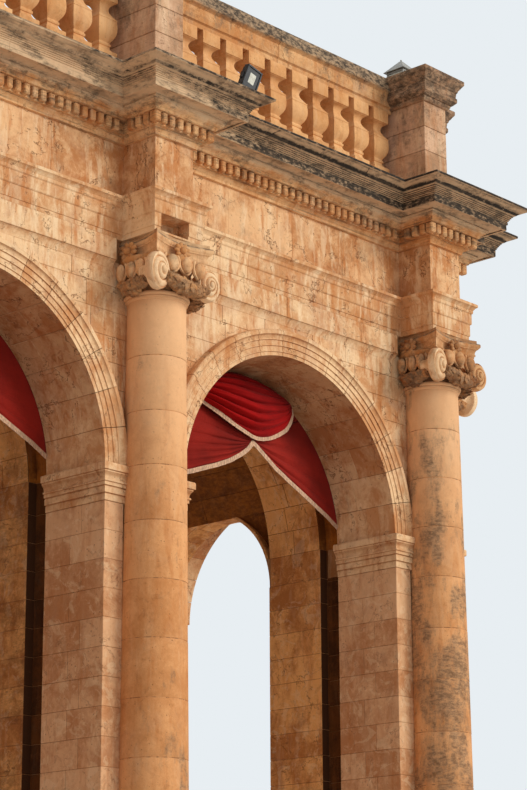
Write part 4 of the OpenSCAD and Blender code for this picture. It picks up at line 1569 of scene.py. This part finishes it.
def architrave():
    profile = lifted(ARCHITRAVE_Z, [
        (0.052, 0), (0.060, 0.004), (0.060, 0.052), (0.068, 0.056), (0.070, 0.062),
        (0.070, 0.182), (0.079, 0.187), (0.084, 0.194), (0.085, 0.2), (0.085, 0.303),
        (0.089, 0.307), (0.096, 0.314), (0.098, 0.322), (0.098, 0.345), (0.104, 0.352),
        (0.114, 0.368), (0.128, 0.378), (0.136, 0.382), (0.136, 0.408), (0.13, 0.4155)])
    cut_socket(band_piece(
        "architrave_stones", profile, 0.3, 1.1, 101, "wall", "entablature",
        ["architrave_front", "architrave_rear", "architrave_ends"], 0.0015))


def frieze():
    z0, z1 = FRIEZE_Z, CORNICE_Z
    profile = [(0.012, z0), (0.002, z0 + 0.012), (0.0, z0 + 0.03), (0.0, (z0 + z1) / 2),
               (0.0, z1 - 0.03), (0.0, z1)]
    band_piece("frieze_stones", profile, 0.25, 0.85, 111, "frieze", "entablature",
               ["frieze_front", "frieze_rear", "frieze_ends"], 0.0025)


def cornice():
    profile = lifted(CORNICE_Z, [
        (0.004, 0), (0.03, 0.004), (0.03, 0.030), (0.036, 0.036), (0.040, 0.044),
        (0.052, 0.056), (0.062, 0.062), (0.062, 0.072), (0.092, 0.074), (0.092, 0.184),
        (0.158, 0.188), (0.165, 0.196), (0.165, 0.206), (0.170, 0.214), (0.188, 0.226),
        (0.21, 0.238), (0.222, 0.252), (0.228, 0.268), (0.236, 0.274), (0.236, 0.292),
        (0.25, 0.298), (0.345, 0.302), (0.349, 0.292), (0.375, 0.290), (0.378, 0.300),
        (0.378, 0.372), (0.388, 0.376), (0.388, 0.386), (0.384, 0.389), (0.396, 0.393),
        (0.396, 0.401), (0.392, 0.404), (0.405, 0.408), (0.405, 0.416), (0.401, 0.419),
        (0.416, 0.424), (0.416, 0.431), (0.412, 0.434), (0.430, 0.440), (0.430, 0.447),
        (0.426, 0.450), (0.448, 0.456), (0.458, 0.462), (0.472, 0.474), (0.492, 0.486),
        (0.520, 0.496), (0.544, 0.504), (0.552, 0.510), (0.564, 0.513), (0.565, 0.534),
        (0.556, 0.543)])
    band_piece("cornice_stones", profile, 0.12, 1.0, 121, "cornice", "cornice",
               ["cornice_front", "cornice_rear", "cornice_ends"], 0.005)


def dentils():
    """Blocks under the corona, in even steps along each straight run"""
    heap = Heap(122)
    z0, z1 = CORNICE_Z + 0.076, CORNICE_Z + 0.186
    inner, outer, space, lap = 0.085, 0.15, 0.036, 0.065
    pitch = sizes().dentil
    corners = corners_round()
    for a, b in zip(corners, corners[1:] + corners[:1]):
        start = Vector((a[0] + inner * a[2], a[1] + inner * a[3]))
        stop = Vector((b[0] + inner * b[2], b[1] + inner * b[3]))
        along = (stop - start).normalized()
        away = Vector(((a[2] + b[2]) / 2, (a[3] + b[3]) / 2))
        away = (away - along * away.dot(along)).normalized()
        grown_a = a[2] * along.x + a[3] * along.y
        grown_b = b[2] * along.x + b[3] * along.y
        first = -lap if grown_a < 0 else 0.0
        last = (stop - start).length + (lap if grown_b > 0 else 0.0)
        count = max(1, round((last - first + space) / pitch))
        step = (last - first + space) / count
        for k in range(count):
            u0 = first + k * step
            u1 = u0 + step - space
            if grown_a > 0 and k == 0 or grown_b < 0 and k == count - 1:
                continue
            p0 = start + along * u0 - away * 0.02
            p1 = start + along * u1 + away * (outer - inner - heap.rng.uniform(0, 0.006))
            drop = heap.rng.uniform(0, 0.006)
            block(heap, (*p0, z0 + drop), (*p1, z1), 0.011)
    heap.build("cornice_dentils", "cornice", "cornice", (), 30)


# Parapet

BALUSTER_W = 0.246
DIE_HALF = 0.19  # half of a parapet pedestal's width


def baluster_shape():
    """Square vase baluster with soft corners, from its base block to its cap"""
    half, tall, soft = BALUSTER_W / 2, 0.757, 0.02
    profile = [(0.0, 0.97), (0.006, 1.0), (0.112, 1.0), (0.118, 0.975), (0.120, 0.9),
               (0.133, 0.78), (0.150, 0.67), (0.172, 0.59), (0.196, 0.55), (0.204, 0.55),
               (0.208, 0.60), (0.220, 0.635), (0.234, 0.635), (0.246, 0.60), (0.250, 0.56),
               (0.262, 0.56), (0.280, 0.63), (0.305, 0.74), (0.335, 0.85), (0.370, 0.935),
               (0.410, 0.985), (0.450, 1.0), (0.500, 0.99), (0.545, 0.965), (0.556, 0.96),
               (0.560, 0.985), (0.574, 0.985), (0.578, 0.93), (0.592, 0.88), (0.615, 0.77),
               (0.645, 0.64), (0.675, 0.54), (0.700, 0.49), (0.722, 0.475), (0.745, 0.50),
               (0.768, 0.57), (0.787, 0.68), (0.800, 0.80), (0.806, 0.88), (0.812, 0.89),
               (0.816, 0.98), (0.822, 1.0), (0.992, 1.0), (1.0, 0.98)]
    corners = ((1 - soft, 1.0), (0.0, 1.0), (-1 + soft, 1.0))

    def where(i, j):
        side, step = divmod(i % 12, 3)
        turn = math.radians(90 * side)
        x, y = corners[step]
        up, share = profile[j]
        x, y = x * half * share, y * half * share
        return (x * math.cos(turn) - y * math.sin(turn), x * math.sin(turn) + y * math.cos(turn),
                PLINTH_TOP + up * tall)
    return Shape(bend(13, len(profile), where))


def row(span):
    """Places of the balusters along a bay, from its middle"""
    pitch = 0.335
    room = span - 2 * DIE_HALF
    count = math.floor((room + pitch - BALUSTER_W) / pitch)
    return [(i - (count - 1) / 2) * pitch for i in range(count)]


def balusters():
    shape = baluster_shape()

    def stand(heap, x, y):
        heap.stand(shape, heap.rng.uniform(-0.02, 0.02), x, y)
    for side, name in FRONTS:
        heap = Heap(131 + side)
        for x in BAY_X:
            for u in row(BAY):
                stand(heap, x + u, side * PARAPET_Y)
        heap.build("vase_balusters_" + name, "baluster", "parapet", ["balusters_" + name], 30)
    heap = Heap(134)
    for side in (-1, 1):
        for u in row(2 * END_Y):
            stand(heap, side * PARAPET_X, u)
    heap.build("vase_balusters_end", "baluster", "parapet", ["balusters_end"], 30)


def straight_runs():
    """Runs of the parapet between the pedestals: (x, y, dx, dy) at both ends"""
    runs = []
    end = END_Y - DIE_HALF
    for side in (-1, 1):
        for a, b in zip(COLUMN_X, COLUMN_X[1:]):
            runs.append(((a + DIE_HALF, side * PARAPET_Y, 0, side),
                         (b - DIE_HALF, side * PARAPET_Y, 0, side)))
        runs.append(((side * PARAPET_X, -end, side, 0), (side * PARAPET_X, end, side, 0)))
    return runs


def run_pieces(heap, section, seed, pitch=1.15):
    """A moulding along the runs of the parapet, in stones that are a little uneven"""
    rng = random.Random(seed)
    gap, steps = 0.0008, 6
    for a, b in straight_runs():
        count = max(1, round(math.hypot(b[0] - a[0], b[1] - a[1]) / pitch))
        marks = [0.0] + [(k + rng.uniform(-0.1, 0.1)) / count for k in range(1, count)] + [1.0]
        for low, high in zip(marks, marks[1:]):
            shares = [low + gap + (high - low - 2 * gap) * n / steps for n in range(steps + 1)]
            bm = sweep(section, [[p + (q - p) * t for p, q in zip(a, b)] for t in shares])
            for vert in bm.verts:
                at = vert.co * 2.4
                vert.co += Vector((noise.noise(at), noise.noise(at + Vector((5, 0, 0))),
                                   noise.noise(at + Vector((0, 9, 0))))) * 0.004
            heap.add(bm)


def parapet_runs():
    heap = Heap(141)
    z, top = CORNICE_TOP, PLINTH_TOP
    section = [(-0.17, z - 0.01), (0.13, z - 0.01), (0.13, z + 0.10), (0.124, z + 0.112),
               (0.118, z + 0.118), (0.118, top - 0.05), (0.13, top - 0.042), (0.13, top - 0.008),
               (0.122, top), (-0.162, top), (-0.17, top - 0.008)]
    run_pieces(heap, section, 5)
    heap.build("parapet_plinth_stones", "rail", "parapet", ["parapet_plinth"], 30)
    heap = Heap(142)
    a, b = RAIL_Z, RAIL_TOP
    side = [(0.104, a), (0.108, a + 0.006), (0.108, a + 0.052), (0.114, a + 0.058),
            (0.13, a + 0.066), (0.132, a + 0.074), (0.132, a + 0.206), (0.138, a + 0.212),
            (0.15, a + 0.218), (0.162, a + 0.228), (0.172, a + 0.234), (0.174, a + 0.244),
            (0.174, b - 0.03), (0.164, b - 0.01), (0.14, b)]
    section = side + [(-x, z) for x, z in reversed(side)]
    run_pieces(heap, section, 6, 1.9)
    heap.build("handrail_stones", "rail", "parapet", ["rails"], 30)


def pedestal_plan(corner):
    """Plan of a pedestal in the quarter of growing x: its rim, the ways outwards, its boxes"""
    half = DIE_HALF
    front = HALF_DEP + 0.275
    if not corner:
        c, back = COLUMN_X[2], PARAPET_Y - 0.187
        plan = [(c - half, -back), (c - half, -front), (c + half, -front), (c + half, -back)]
        turns = [(-1, 1), (-1, -1), (1, -1), (1, 1)]
        return plan, turns, [((c - half, c + half), (-front, -back))]
    c, side = COLUMN_X[3], HALF_LEN + 0.275
    near, far = -END_Y + half, -END_Y - half
    plan = [(c - half, near), (c - half, -front), (c + half, -front), (c + half, far),
            (side, far), (side, near)]
    turns = [(-1, 1), (-1, -1), (1, -1), (1, -1), (1, -1), (1, 1)]
    return plan, turns, [((c - half, c + half), (-front, near)), ((c + half, side), (far, near))]


def pedestal_stones():
    """Dies in courses with plain joints, and moulded caps"""
    cap = [(-0.1, RAIL_TOP - 0.35)]
    cap += [(e, RAIL_TOP - h) for h, e in (
        (0.352, 0.0), (0.345, 0.02), (0.325, 0.038), (0.3, 0.044), (0.298, 0.056), (0.28, 0.075),
        (0.262, 0.092), (0.25, 0.095), (0.215, 0.095), (0.206, 0.086), (0.2, 0.084),
        (0.15, 0.09), (0.14, 0.1), (0.12, 0.104), (0.1, 0.12), (0.075, 0.135), (0.056, 0.15),
        (0.05, 0.154), (0.012, 0.155), (0.004, 0.15), (0.0, 0.14))]
    cap += [(-0.1, RAIL_TOP)]
    levels = [CORNICE_TOP - 0.01, 9.33, 9.64, 9.92, RAIL_TOP - 0.005]
    gap = 0.002
    for corner, name in enumerate(("parapet", "corner")):
        heap = Heap(151 + corner)
        plan, turns, boxes = pedestal_plan(corner)
        for sx in (-1, 1):
            for sy in (-1, 1):
                path = [(sx * x, -sy * y, sx * dx, -sy * dy)
                        for (x, y), (dx, dy) in zip(plan, turns)]
                heap.add(sweep(cap, path, True))
                for z0, z1 in zip(levels, levels[1:]):
                    for (x0, x1), (y0, y1) in boxes:
                        block(heap, (sx * x0, -sy * y0, z0 + gap),
                              (sx * x1, -sy * y1, z1 - gap), 0.005)
        heap.build(name + "_pedestal_stones", "pedestal", "parapet", [name + "_pedestals"], 25)


# Drapes

# Sheets are cut from a bolt of a usual width, with some to spare
PANEL_WIDTH = 1.95
SWAG_WIDTH = 2.1
CUT_SPARE = 1.25
LEAST_FLAT = 0.5
CLOTH_THICK = 0.004
CLOTH_Y = -1.935
KNOT = 0.80  # height of the knot over the springing
KNOT_OUT = 0.20

# Hems of the left and right panel: share of the way from the knot, height over the springing
HEMS = {-1: [(0, KNOT), (0.045, 0.715), (0.113, 0.638), (0.206, 0.555), (0.314, 0.485),
             (0.42, 0.428), (0.52, 0.372), (0.75, 0.278), (1.02, 0.185)],
        1: [(0, KNOT), (0.04, 0.775), (0.13, 0.695), (0.25, 0.597), (0.4, 0.51), (0.56, 0.432),
            (0.72, 0.354), (0.87, 0.282), (1.02, 0.185)]}


def along(marks, share):
    """The height at a share of the way along a list of (share, height)"""
    for (a, ha), (b, hb) in zip(marks, marks[1:]):
        if share <= b:
            return ha + (hb - ha) * (share - a) / (b - a)
    return marks[-1][1]


def drape_panel(bay, hand):
    """A side panel: its folds fan out from the knot to the edge of the arch"""
    rows, across = 61, 141
    rim, foot = ARCH_R - 0.012, 0.185
    low = math.asin(foot / rim)

    def where(i, j):
        t, s = i / (rows - 1), j / (across - 1)
        angle = low + (math.pi / 2 - low) * s
        edge = Vector((rim * math.cos(angle), 0, rim * math.sin(angle)))
        sag = (along(HEMS[hand], t) - KNOT - (foot - KNOT) * t) * (1 - s) ** 3
        z = KNOT + (edge.z - KNOT) * t + sag
        spread = s ** 0.75
        phase = 8.5 * spread + 0.4 * math.sin(7 * s + hand) + 0.35 * t
        fold = abs(math.sin(math.pi * phase)) ** 0.8 - 0.6
        fine = math.sin(2 * math.pi * (19 * spread) + 4 * t + hand)
        start = math.sin(math.pi / 2 * min(1, t * 2.6 + 0.05))
        tight = (0.045 * (1 - t) ** 1.2 + 0.012) * (1 - 0.6 * s)
        depth = KNOT_OUT * (1 - t) ** 1.3 + 0.03 * math.sin(math.pi * t)
        depth += (tight * fold + 0.003 * fine * (1 - t)) * start * (1 - t ** 6)
        return (bay + hand * edge.x * t, CLOTH_Y + 0.012 - depth, SPRING + z)
    return where, rows, across


def sheet_piece(name, look, where, rows, across):
    """A piece of cloth: one curved surface, given its thickness by a modifier"""
    bm = sheet_of(rows, across, where)
    bmesh.ops.remove_doubles(bm, verts=bm.verts[:], dist=1e-5)
    bmesh.ops.recalc_face_normals(bm, faces=bm.faces[:])
    mesh = bpy.data.meshes.new(name)
    bm.to_mesh(mesh)
    bm.free()
    mesh.shade_smooth()
    piece = finish_piece(name, mesh, look)
    solid = piece.modifiers.new("thickness", "SOLIDIFY")
    solid.thickness = CLOTH_THICK
    solid.offset = 0
    return piece


# Hem of the swag, from left to right: place in the bay, height over the springing, way out
SWAG_HEM = [(-0.93, 1.222, 0.0), (-0.80, 1.178, 0.05), (-0.663, 1.12, 0.10),
            (-0.505, 1.032, 0.15), (-0.32, 0.94, 0.18), (-0.1, 0.866, 0.196), (0.01, 0.846, 0.197),
            (0.125, 0.856, 0.196), (0.25, 0.892, 0.188), (0.38, 0.95, 0.172), (0.52, 1.036, 0.15),
            (0.62, 1.15, 0.125), (0.68, 1.27, 0.085), (0.70, 1.363, 0.02)]


def smooth_line(points, count):
    """Points at even shares of a smooth curve through the given ones"""
    points = [Vector(p) for p in points]
    ends = [points[0] * 2 - points[1]] + points + [points[-1] * 2 - points[-2]]
    fine = []
    for a, b, c, d in zip(ends, ends[1:], ends[2:], ends[3:]):
        for k in range(12):
            t = k / 12
            fine.append(0.5 * (2 * b + (c - a) * t + (2 * a - 5 * b + 4 * c - d) * t * t
                               + (3 * b - a - 3 * c + d) * t ** 3))
    fine.append(points[-1])
    runs = [0.0]
    for a, b in zip(fine, fine[1:]):
        runs.append(runs[-1] + (b - a).length)
    line, k = [], 0
    for n in range(count):
        goal = runs[-1] * n / (count - 1)
        while k < len(runs) - 2 and runs[k + 1] < goal:
            k += 1
        share = (goal - runs[k]) / max(runs[k + 1] - runs[k], 1e-9)
        line.append(fine[k].lerp(fine[k + 1], min(1.0, share)))
    return line


def swag(bay):
    """The gathered cloth over the panels, tied tight at one end and full at the other"""
    rows, across = 91, 101
    rim = ARCH_R - 0.015
    hem = smooth_line(SWAG_HEM, across)
    first, last = (math.atan2(end[1], end[0]) for end in (SWAG_HEM[0], SWAG_HEM[-1]))

    def where(i, j):
        v, u = i / (rows - 1), j / (across - 1)
        angle = first + (last - first) * u
        low = hem[j]
        x = rim * math.cos(angle) * (1 - v) + low.x * v
        z = rim * math.sin(angle) * (1 - v) + low.y * v
        belly = math.sin(math.pi * u) ** 0.7
        gather = 0.5 - 0.5 * math.tanh((u - 0.62) * 5)
        phase = 7.2 * v ** 0.85 + 0.5 * math.sin(3.2 * u + 5 * v) + 0.7 * u
        fold = abs(math.sin(math.pi * phase)) ** 0.75 - 0.62
        fine = math.sin(2 * math.pi * 14 * v + 7 * u)
        depth = low.z * v ** 0.8 + 0.17 * belly * math.sin(math.pi * v) ** 0.8
        ends = min(1.0, 8 * v, 5 * u, 9 * (1 - u)) * min(1.0, 0.35 + 6 * (1 - v))
        depth += (0.075 * gather + 0.008) * fold * ends * (0.55 + 0.45 * belly)
        depth += 0.004 * fine * ends
        return (bay + x, CLOTH_Y - 0.02 - max(0.0, depth), SPRING + z)
    return where, rows, across


def trim_ribbon(heap, hem):
    """A cream band along a hem, with a fringe that hangs below it, just before the cloth"""
    out = Vector((0, -1, 0))
    points = [Vector(p) + CLOTH_THICK * out for p in hem]
    last = len(points) - 1
    deep = sizes().fringe
    ring = [(-0.35, 0.004), (0.0, 0.008), (0.45, 0.007), (0.5, 0.004), (1.0, 0.005),
            (1.0, -0.003), (0.5, -0.003), (-0.35, -0.003)]

    def where(i, j):
        ahead = (points[min(i + 1, last)] - points[max(i - 1, 0)]).normalized()
        down = out.cross(ahead).normalized()
        if down.z > 0:
            down = -down
        a, b = ring[j % len(ring)]
        fray = 0.12 * noise.noise(points[i] * 60) if abs(a) == 1.0 else 0
        return points[i] + down * ((a + fray) * deep) + out * b
    heap.add(bend(len(points), len(ring) + 1, where))


def drapes():
    """Two panels and a swag in each front arch, with one fringe"""
    for number, bay in enumerate(BAY_X):
        heap = Heap(160 + number)
        sheets = []
        for hand, side in ((-1, "left"), (1, "right")):
            where, rows, across = drape_panel(bay, hand)
            panel = sheet_piece("drape_%s_%d" % (side, number), "drape", where, rows, across)
            sheets.append((panel, "hung", PANEL_WIDTH))
            trim_ribbon(heap, [where(i, 0) for i in range(rows)])
        where, rows, across = swag(bay)
        bowl = sheet_piece("swag_%d" % number, "swag", where, rows, across)
        sheets.append((bowl, "gathered", SWAG_WIDTH))
        trim_ribbon(heap, [where(rows - 1, j) for j in range(across)])
        ribbon = heap.build("drape_fringe_%d" % number, "fringe", "cloth", (), 50)
        if number == 0:
            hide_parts("curtains")
        for piece, held, width in sheets:
            area = sum(face.area for face in piece.data.polygons)
            flat = (width, max(area * CUT_SPARE / width, LEAST_FLAT))


# Fittings

def floodlight():
    """Housing with fins, a bezel with its lens, and a bracket"""
    turn = (Matrix.Translation((2.56, -3.5, CORNICE_TOP + 0.02))
            @ Matrix.Rotation(math.radians(14), 4, "Y") @ Matrix.Rotation(math.radians(12), 4, "X"))
    spin = np.array(turn.to_3x3().transposed())
    heap, lens = Heap(171), Heap(172)

    def part(low, high, bevel, target=heap):
        low, high = np.array(low, float), np.array(high, float)
        points = fitted(BLOCK.points, high - low, bevel) + (low + high) / 2
        target.stamp(BLOCK, points @ spin + np.array(turn.translation), 0.5)
    part((-0.1, -0.02, 0.0), (0.1, 0.02, 0.23), 0.008)
    part((-0.082, -0.036, 0.018), (0.082, -0.018, 0.212), 0.002)
    for z in (0.0, 0.21):
        part((-0.1, -0.045, z), (0.1, -0.018, z + 0.02), 0.004)
    for x in (-0.1, 0.08):
        part((x, -0.045, 0.018), (x + 0.02, -0.018, 0.212), 0.004)
    for k in range(9):
        part((-0.085 + 0.0205 * k, 0.018, 0.015), (-0.079 + 0.0205 * k, 0.045, 0.215), 0.0015)
    for x in (-0.112, 0.1):
        part((x, -0.02, 0.08), (x + 0.012, 0.02, 0.15), 0.003)
    part((-0.05, -0.06, -0.02), (0.05, 0.06, 0.006), 0.003)
    heap.build("floodlight_housing", "black", "lamp_black", ["floodlight"], 30)
    part((-0.040, -0.0375, 0.062), (0.040, -0.03, 0.168), 0.002, lens)
    lens.build("floodlight_lens", "glass", "lamp_black", (), 30)


def lantern_roof(heap, x, y, z):
    """A pyramid of four sides with a turned knob"""
    half, tip, tall = 0.15, 0.015, 0.15
    bm = bmesh.new()
    bmesh.ops.create_cone(bm, cap_ends=True, segments=4, radius1=half * math.sqrt(2),
                          radius2=tip * math.sqrt(2), depth=tall)
    bmesh.ops.rotate(bm, verts=bm.verts[:], cent=(0, 0, 0),
                     matrix=Matrix.Rotation(math.pi / 4, 3, "Z"))
    chamfer(bm, bm.edges[:], 0.003)
    bmesh.ops.translate(bm, verts=bm.verts[:], vec=(x, y, z + tall / 2))
    heap.add(bm)
    knob = lathe([(0, 0), (0.012, 0), (0.008, 0.006), (0.011, 0.013), (0.008, 0.02),
                  (0, 0.025)], 12)
    bmesh.ops.translate(knob, verts=knob.verts[:], vec=(x, y, z + 0.149))
    heap.add(knob)


def lanterns():
    """Glazed lanterns with sheet-metal roofs on the corners of the parapet"""
    w, h, neck, post = 0.12, 0.4, 0.06, 0.02
    places = [(sx * (HALF_LEN + COLUMN_OUT - 0.23), sy * END_Y) for sx in (-1, 1)
              for sy in (-1, 1)]
    body, glass, roof = Heap(181), Heap(182), Heap(183)
    for x, y in places:
        def part(low, high, bevel, target=body):
            block(target, (x + low[0], y + low[1], RAIL_TOP + low[2]),
                  (x + high[0], y + high[1], RAIL_TOP + high[2]), bevel, 0.5)
        part((-0.06, -0.06, 0), (0.06, 0.06, 0.02), 0.003)
        part((-0.045, -0.045, 0.02), (0.045, 0.045, neck), 0.003)
        part((-w, -w, neck), (w, w, neck + 0.025), 0.004)
        part((-w, -w, h - 0.025), (w, w, h), 0.004)
        for sx in (-1, 1):
            for sy in (-1, 1):
                part((sx * w, sy * w, neck + 0.02), (sx * (w - post), sy * (w - post), h - 0.02),
                     0.003)
        part((-w + 0.01, -w + 0.01, neck + 0.025), (w - 0.01, w - 0.01, h - 0.025), 0.002, glass)
        lantern_roof(roof, x, y, RAIL_TOP + h)
    body.build("lantern_frames", "metal", "lantern_metal", ["lantern_bodies"], 30)
    glass.build("lantern_panes", "glass", "lantern_metal", (), 30)
    roof.build("lantern_caps", "metal", "lantern_metal", ["lantern_roofs"], 30)


def carried_nodes():
    """Materials for the CAD nodes that stay"""
    looks = {
        "mortar": ["piers_front", "piers_rear", "cross_walls_inner", "cross_walls_end",
                   "spandrels_front_outer", "spandrel_front_centre", "spandrels_rear_outer",
                   "spandrel_rear_centre"],
        # The inside look paints shade on the heads of the walls, the vaults and the fill
        "inside": ["wall_heads_inner", "wall_heads_end", "vaults", "roof_fill"],
        "paving": ["terrace_deck"],
    }
    for look, names in looks.items():
        for name in names:
            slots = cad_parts[name].material_slots
            if not slots:
                raise RuntimeError(name + " has no material slot")
            for slot in slots:
                slot.link = "OBJECT"
                slot.material = LOOKS[look]


# Stage

def add_floor():
    p = Paint("floor")
    p.surface(linear(226, 224, 220), None, 0.95)
    bm = bmesh.new()
    bmesh.ops.create_grid(bm, x_segments=1, y_segments=1, size=60)
    mesh = bpy.data.meshes.new("floor")
    bm.to_mesh(mesh)
    bm.free()
    mesh.materials.append(p.owner)
    add_object("floor", mesh)


def add_sky():
    """A plain sky, brighter to the camera and in mirrors than the light that it gives"""
    w = Paint("pale sky", world=True)
    to_camera = w.node("ShaderNodeLightPath", output="Is Camera Ray")
    to_mirror = w.node("ShaderNodeLightPath", output="Is Glossy Ray")
    fill = w.node("ShaderNodeBackground", {}, {
        "Color": (*linear(240, 242, 246), 1), "Strength": 0.72})
    plain = w.node("ShaderNodeBackground", {}, {
        "Color": (*linear(232, 238, 242), 1), "Strength": 1.0})
    both = w.node("ShaderNodeMixShader", {}, {0: to_camera.top(to_mirror), 1: fill, 2: plain})
    w.node("ShaderNodeOutputWorld", {}, {"Surface": both})
    bpy.context.scene.world = w.owner


def add_sun():
    """Low hazy sun from the front, a little to the right"""
    lamp = bpy.data.lights.new("sun", "SUN")
    lamp.energy = 2.0
    lamp.angle = math.radians(34)
    lamp.color = (1.0, 0.98, 0.95)
    sun = add_object("sun", lamp)
    toward = Vector((0.40, -0.84, 0.36))
    sun.rotation_euler = toward.to_track_quat("Z", "Y").to_euler()
    sun.location = toward * 40


def add_camera():
    """The camera of the photograph, from its own lines"""
    film, focal, picture = 36, 2280.13, 790
    yaw, pitch, roll = math.radians(42.46), math.radians(16.05), -0.005489
    data = bpy.data.cameras.new("camera")
    data.sensor_fit = "VERTICAL"
    data.sensor_height = film
    data.lens = focal / picture * film
    data.clip_end = 500
    camera = add_object("camera", data)
    forward = Vector((math.cos(yaw) * math.cos(pitch), math.sin(yaw) * math.cos(pitch),
                      math.sin(pitch)))
    turn = forward.to_track_quat("-Z", "Y").to_matrix().to_4x4()
    camera.matrix_world = (Matrix.Translation((-12.188, -17.204, 0.255)) @ turn
                           @ Matrix.Rotation(roll, 4, "Z"))
    bpy.context.scene.camera = camera
    bpy.context.scene.view_settings.view_transform = "Standard"


# Operators

def operator(name, label, text, builders):
    """An operator class that runs builders in order"""
    def execute(self, context):
        for builder in builders:
            builder()
        return {"FINISHED"}
    return type("PAVILION_OT_" + name, (bpy.types.Operator,), {
        "bl_idname": "pavilion." + name, "bl_label": label, "__doc__": text,
        "execute": execute})


OPERATORS = [
    operator("stage", "Stage", "Adds the floor, the light and the camera",
             [add_floor, add_sky, add_sun, add_camera]),
    operator("walls", "Wall stones", "Lays the courses of walls and piers", [wall_pieces]),
    operator("arches", "Arches", "Adds voussoirs, vault stones and imposts",
             [arch_rings, vault_stones, imposts]),
    operator("columns", "Columns", "Stacks the drums and makes bases and pedestals",
             [columns, column_bases, column_pedestals]),
    operator("capitals", "Capitals", "Carves the capitals", [capitals]),
    operator("entablature", "Entablature", "Runs architrave, frieze and cornice",
             [architrave, frieze, cornice, dentils]),
    operator("parapet", "Parapet", "Builds the balustrade",
             [balusters, parapet_runs, pedestal_stones]),
    operator("drapes", "Drapes", "Hangs the red drapes in the front arches", [drapes]),
    operator("fittings", "Fittings", "Adds the floodlight and the lanterns",
             [floodlight, lanterns]),
    operator("backing", "Backing", "Gives the nodes that stay their materials",
             [carried_nodes]),
]


class PAVILION_PT_panel(bpy.types.Panel):
    """Lists the pavilion's operators, sizes and colours"""
    bl_label = "Pavilion"
    bl_space_type = "VIEW_3D"
    bl_region_type = "UI"
    bl_category = "Pavilion"

    def draw(self, context):
        for kind in OPERATORS:
            self.layout.operator(kind.bl_idname)
        for group in (context.scene.pavilion_sizes, context.scene.pavilion_colours):
            for name in group.__annotations__:
                self.layout.prop(group, name)


CLASSES = [PavilionSizes, PavilionColours, *OPERATORS, PAVILION_PT_panel]


def register():
    for kind in CLASSES:
        bpy.utils.register_class(kind)
    bpy.types.Scene.pavilion_sizes = bpy.props.PointerProperty(type=PavilionSizes)
    bpy.types.Scene.pavilion_colours = bpy.props.PointerProperty(type=PavilionColours)


def unregister():
    del bpy.types.Scene.pavilion_sizes
    del bpy.types.Scene.pavilion_colours
    for kind in reversed(CLASSES):
        bpy.utils.unregister_class(kind)


def main():
    global LOOKS, BLOCK, BENT, LEAF
    register()
    LOOKS = make_materials()
    BLOCK = block_shape()
    BENT = block_shape(2)
    LEAF = leaf_shape()
    for kind in OPERATORS:
        group, name = kind.bl_idname.split(".")
        getattr(getattr(bpy.ops, group), name)()


if __name__ == "__main__":
    main()
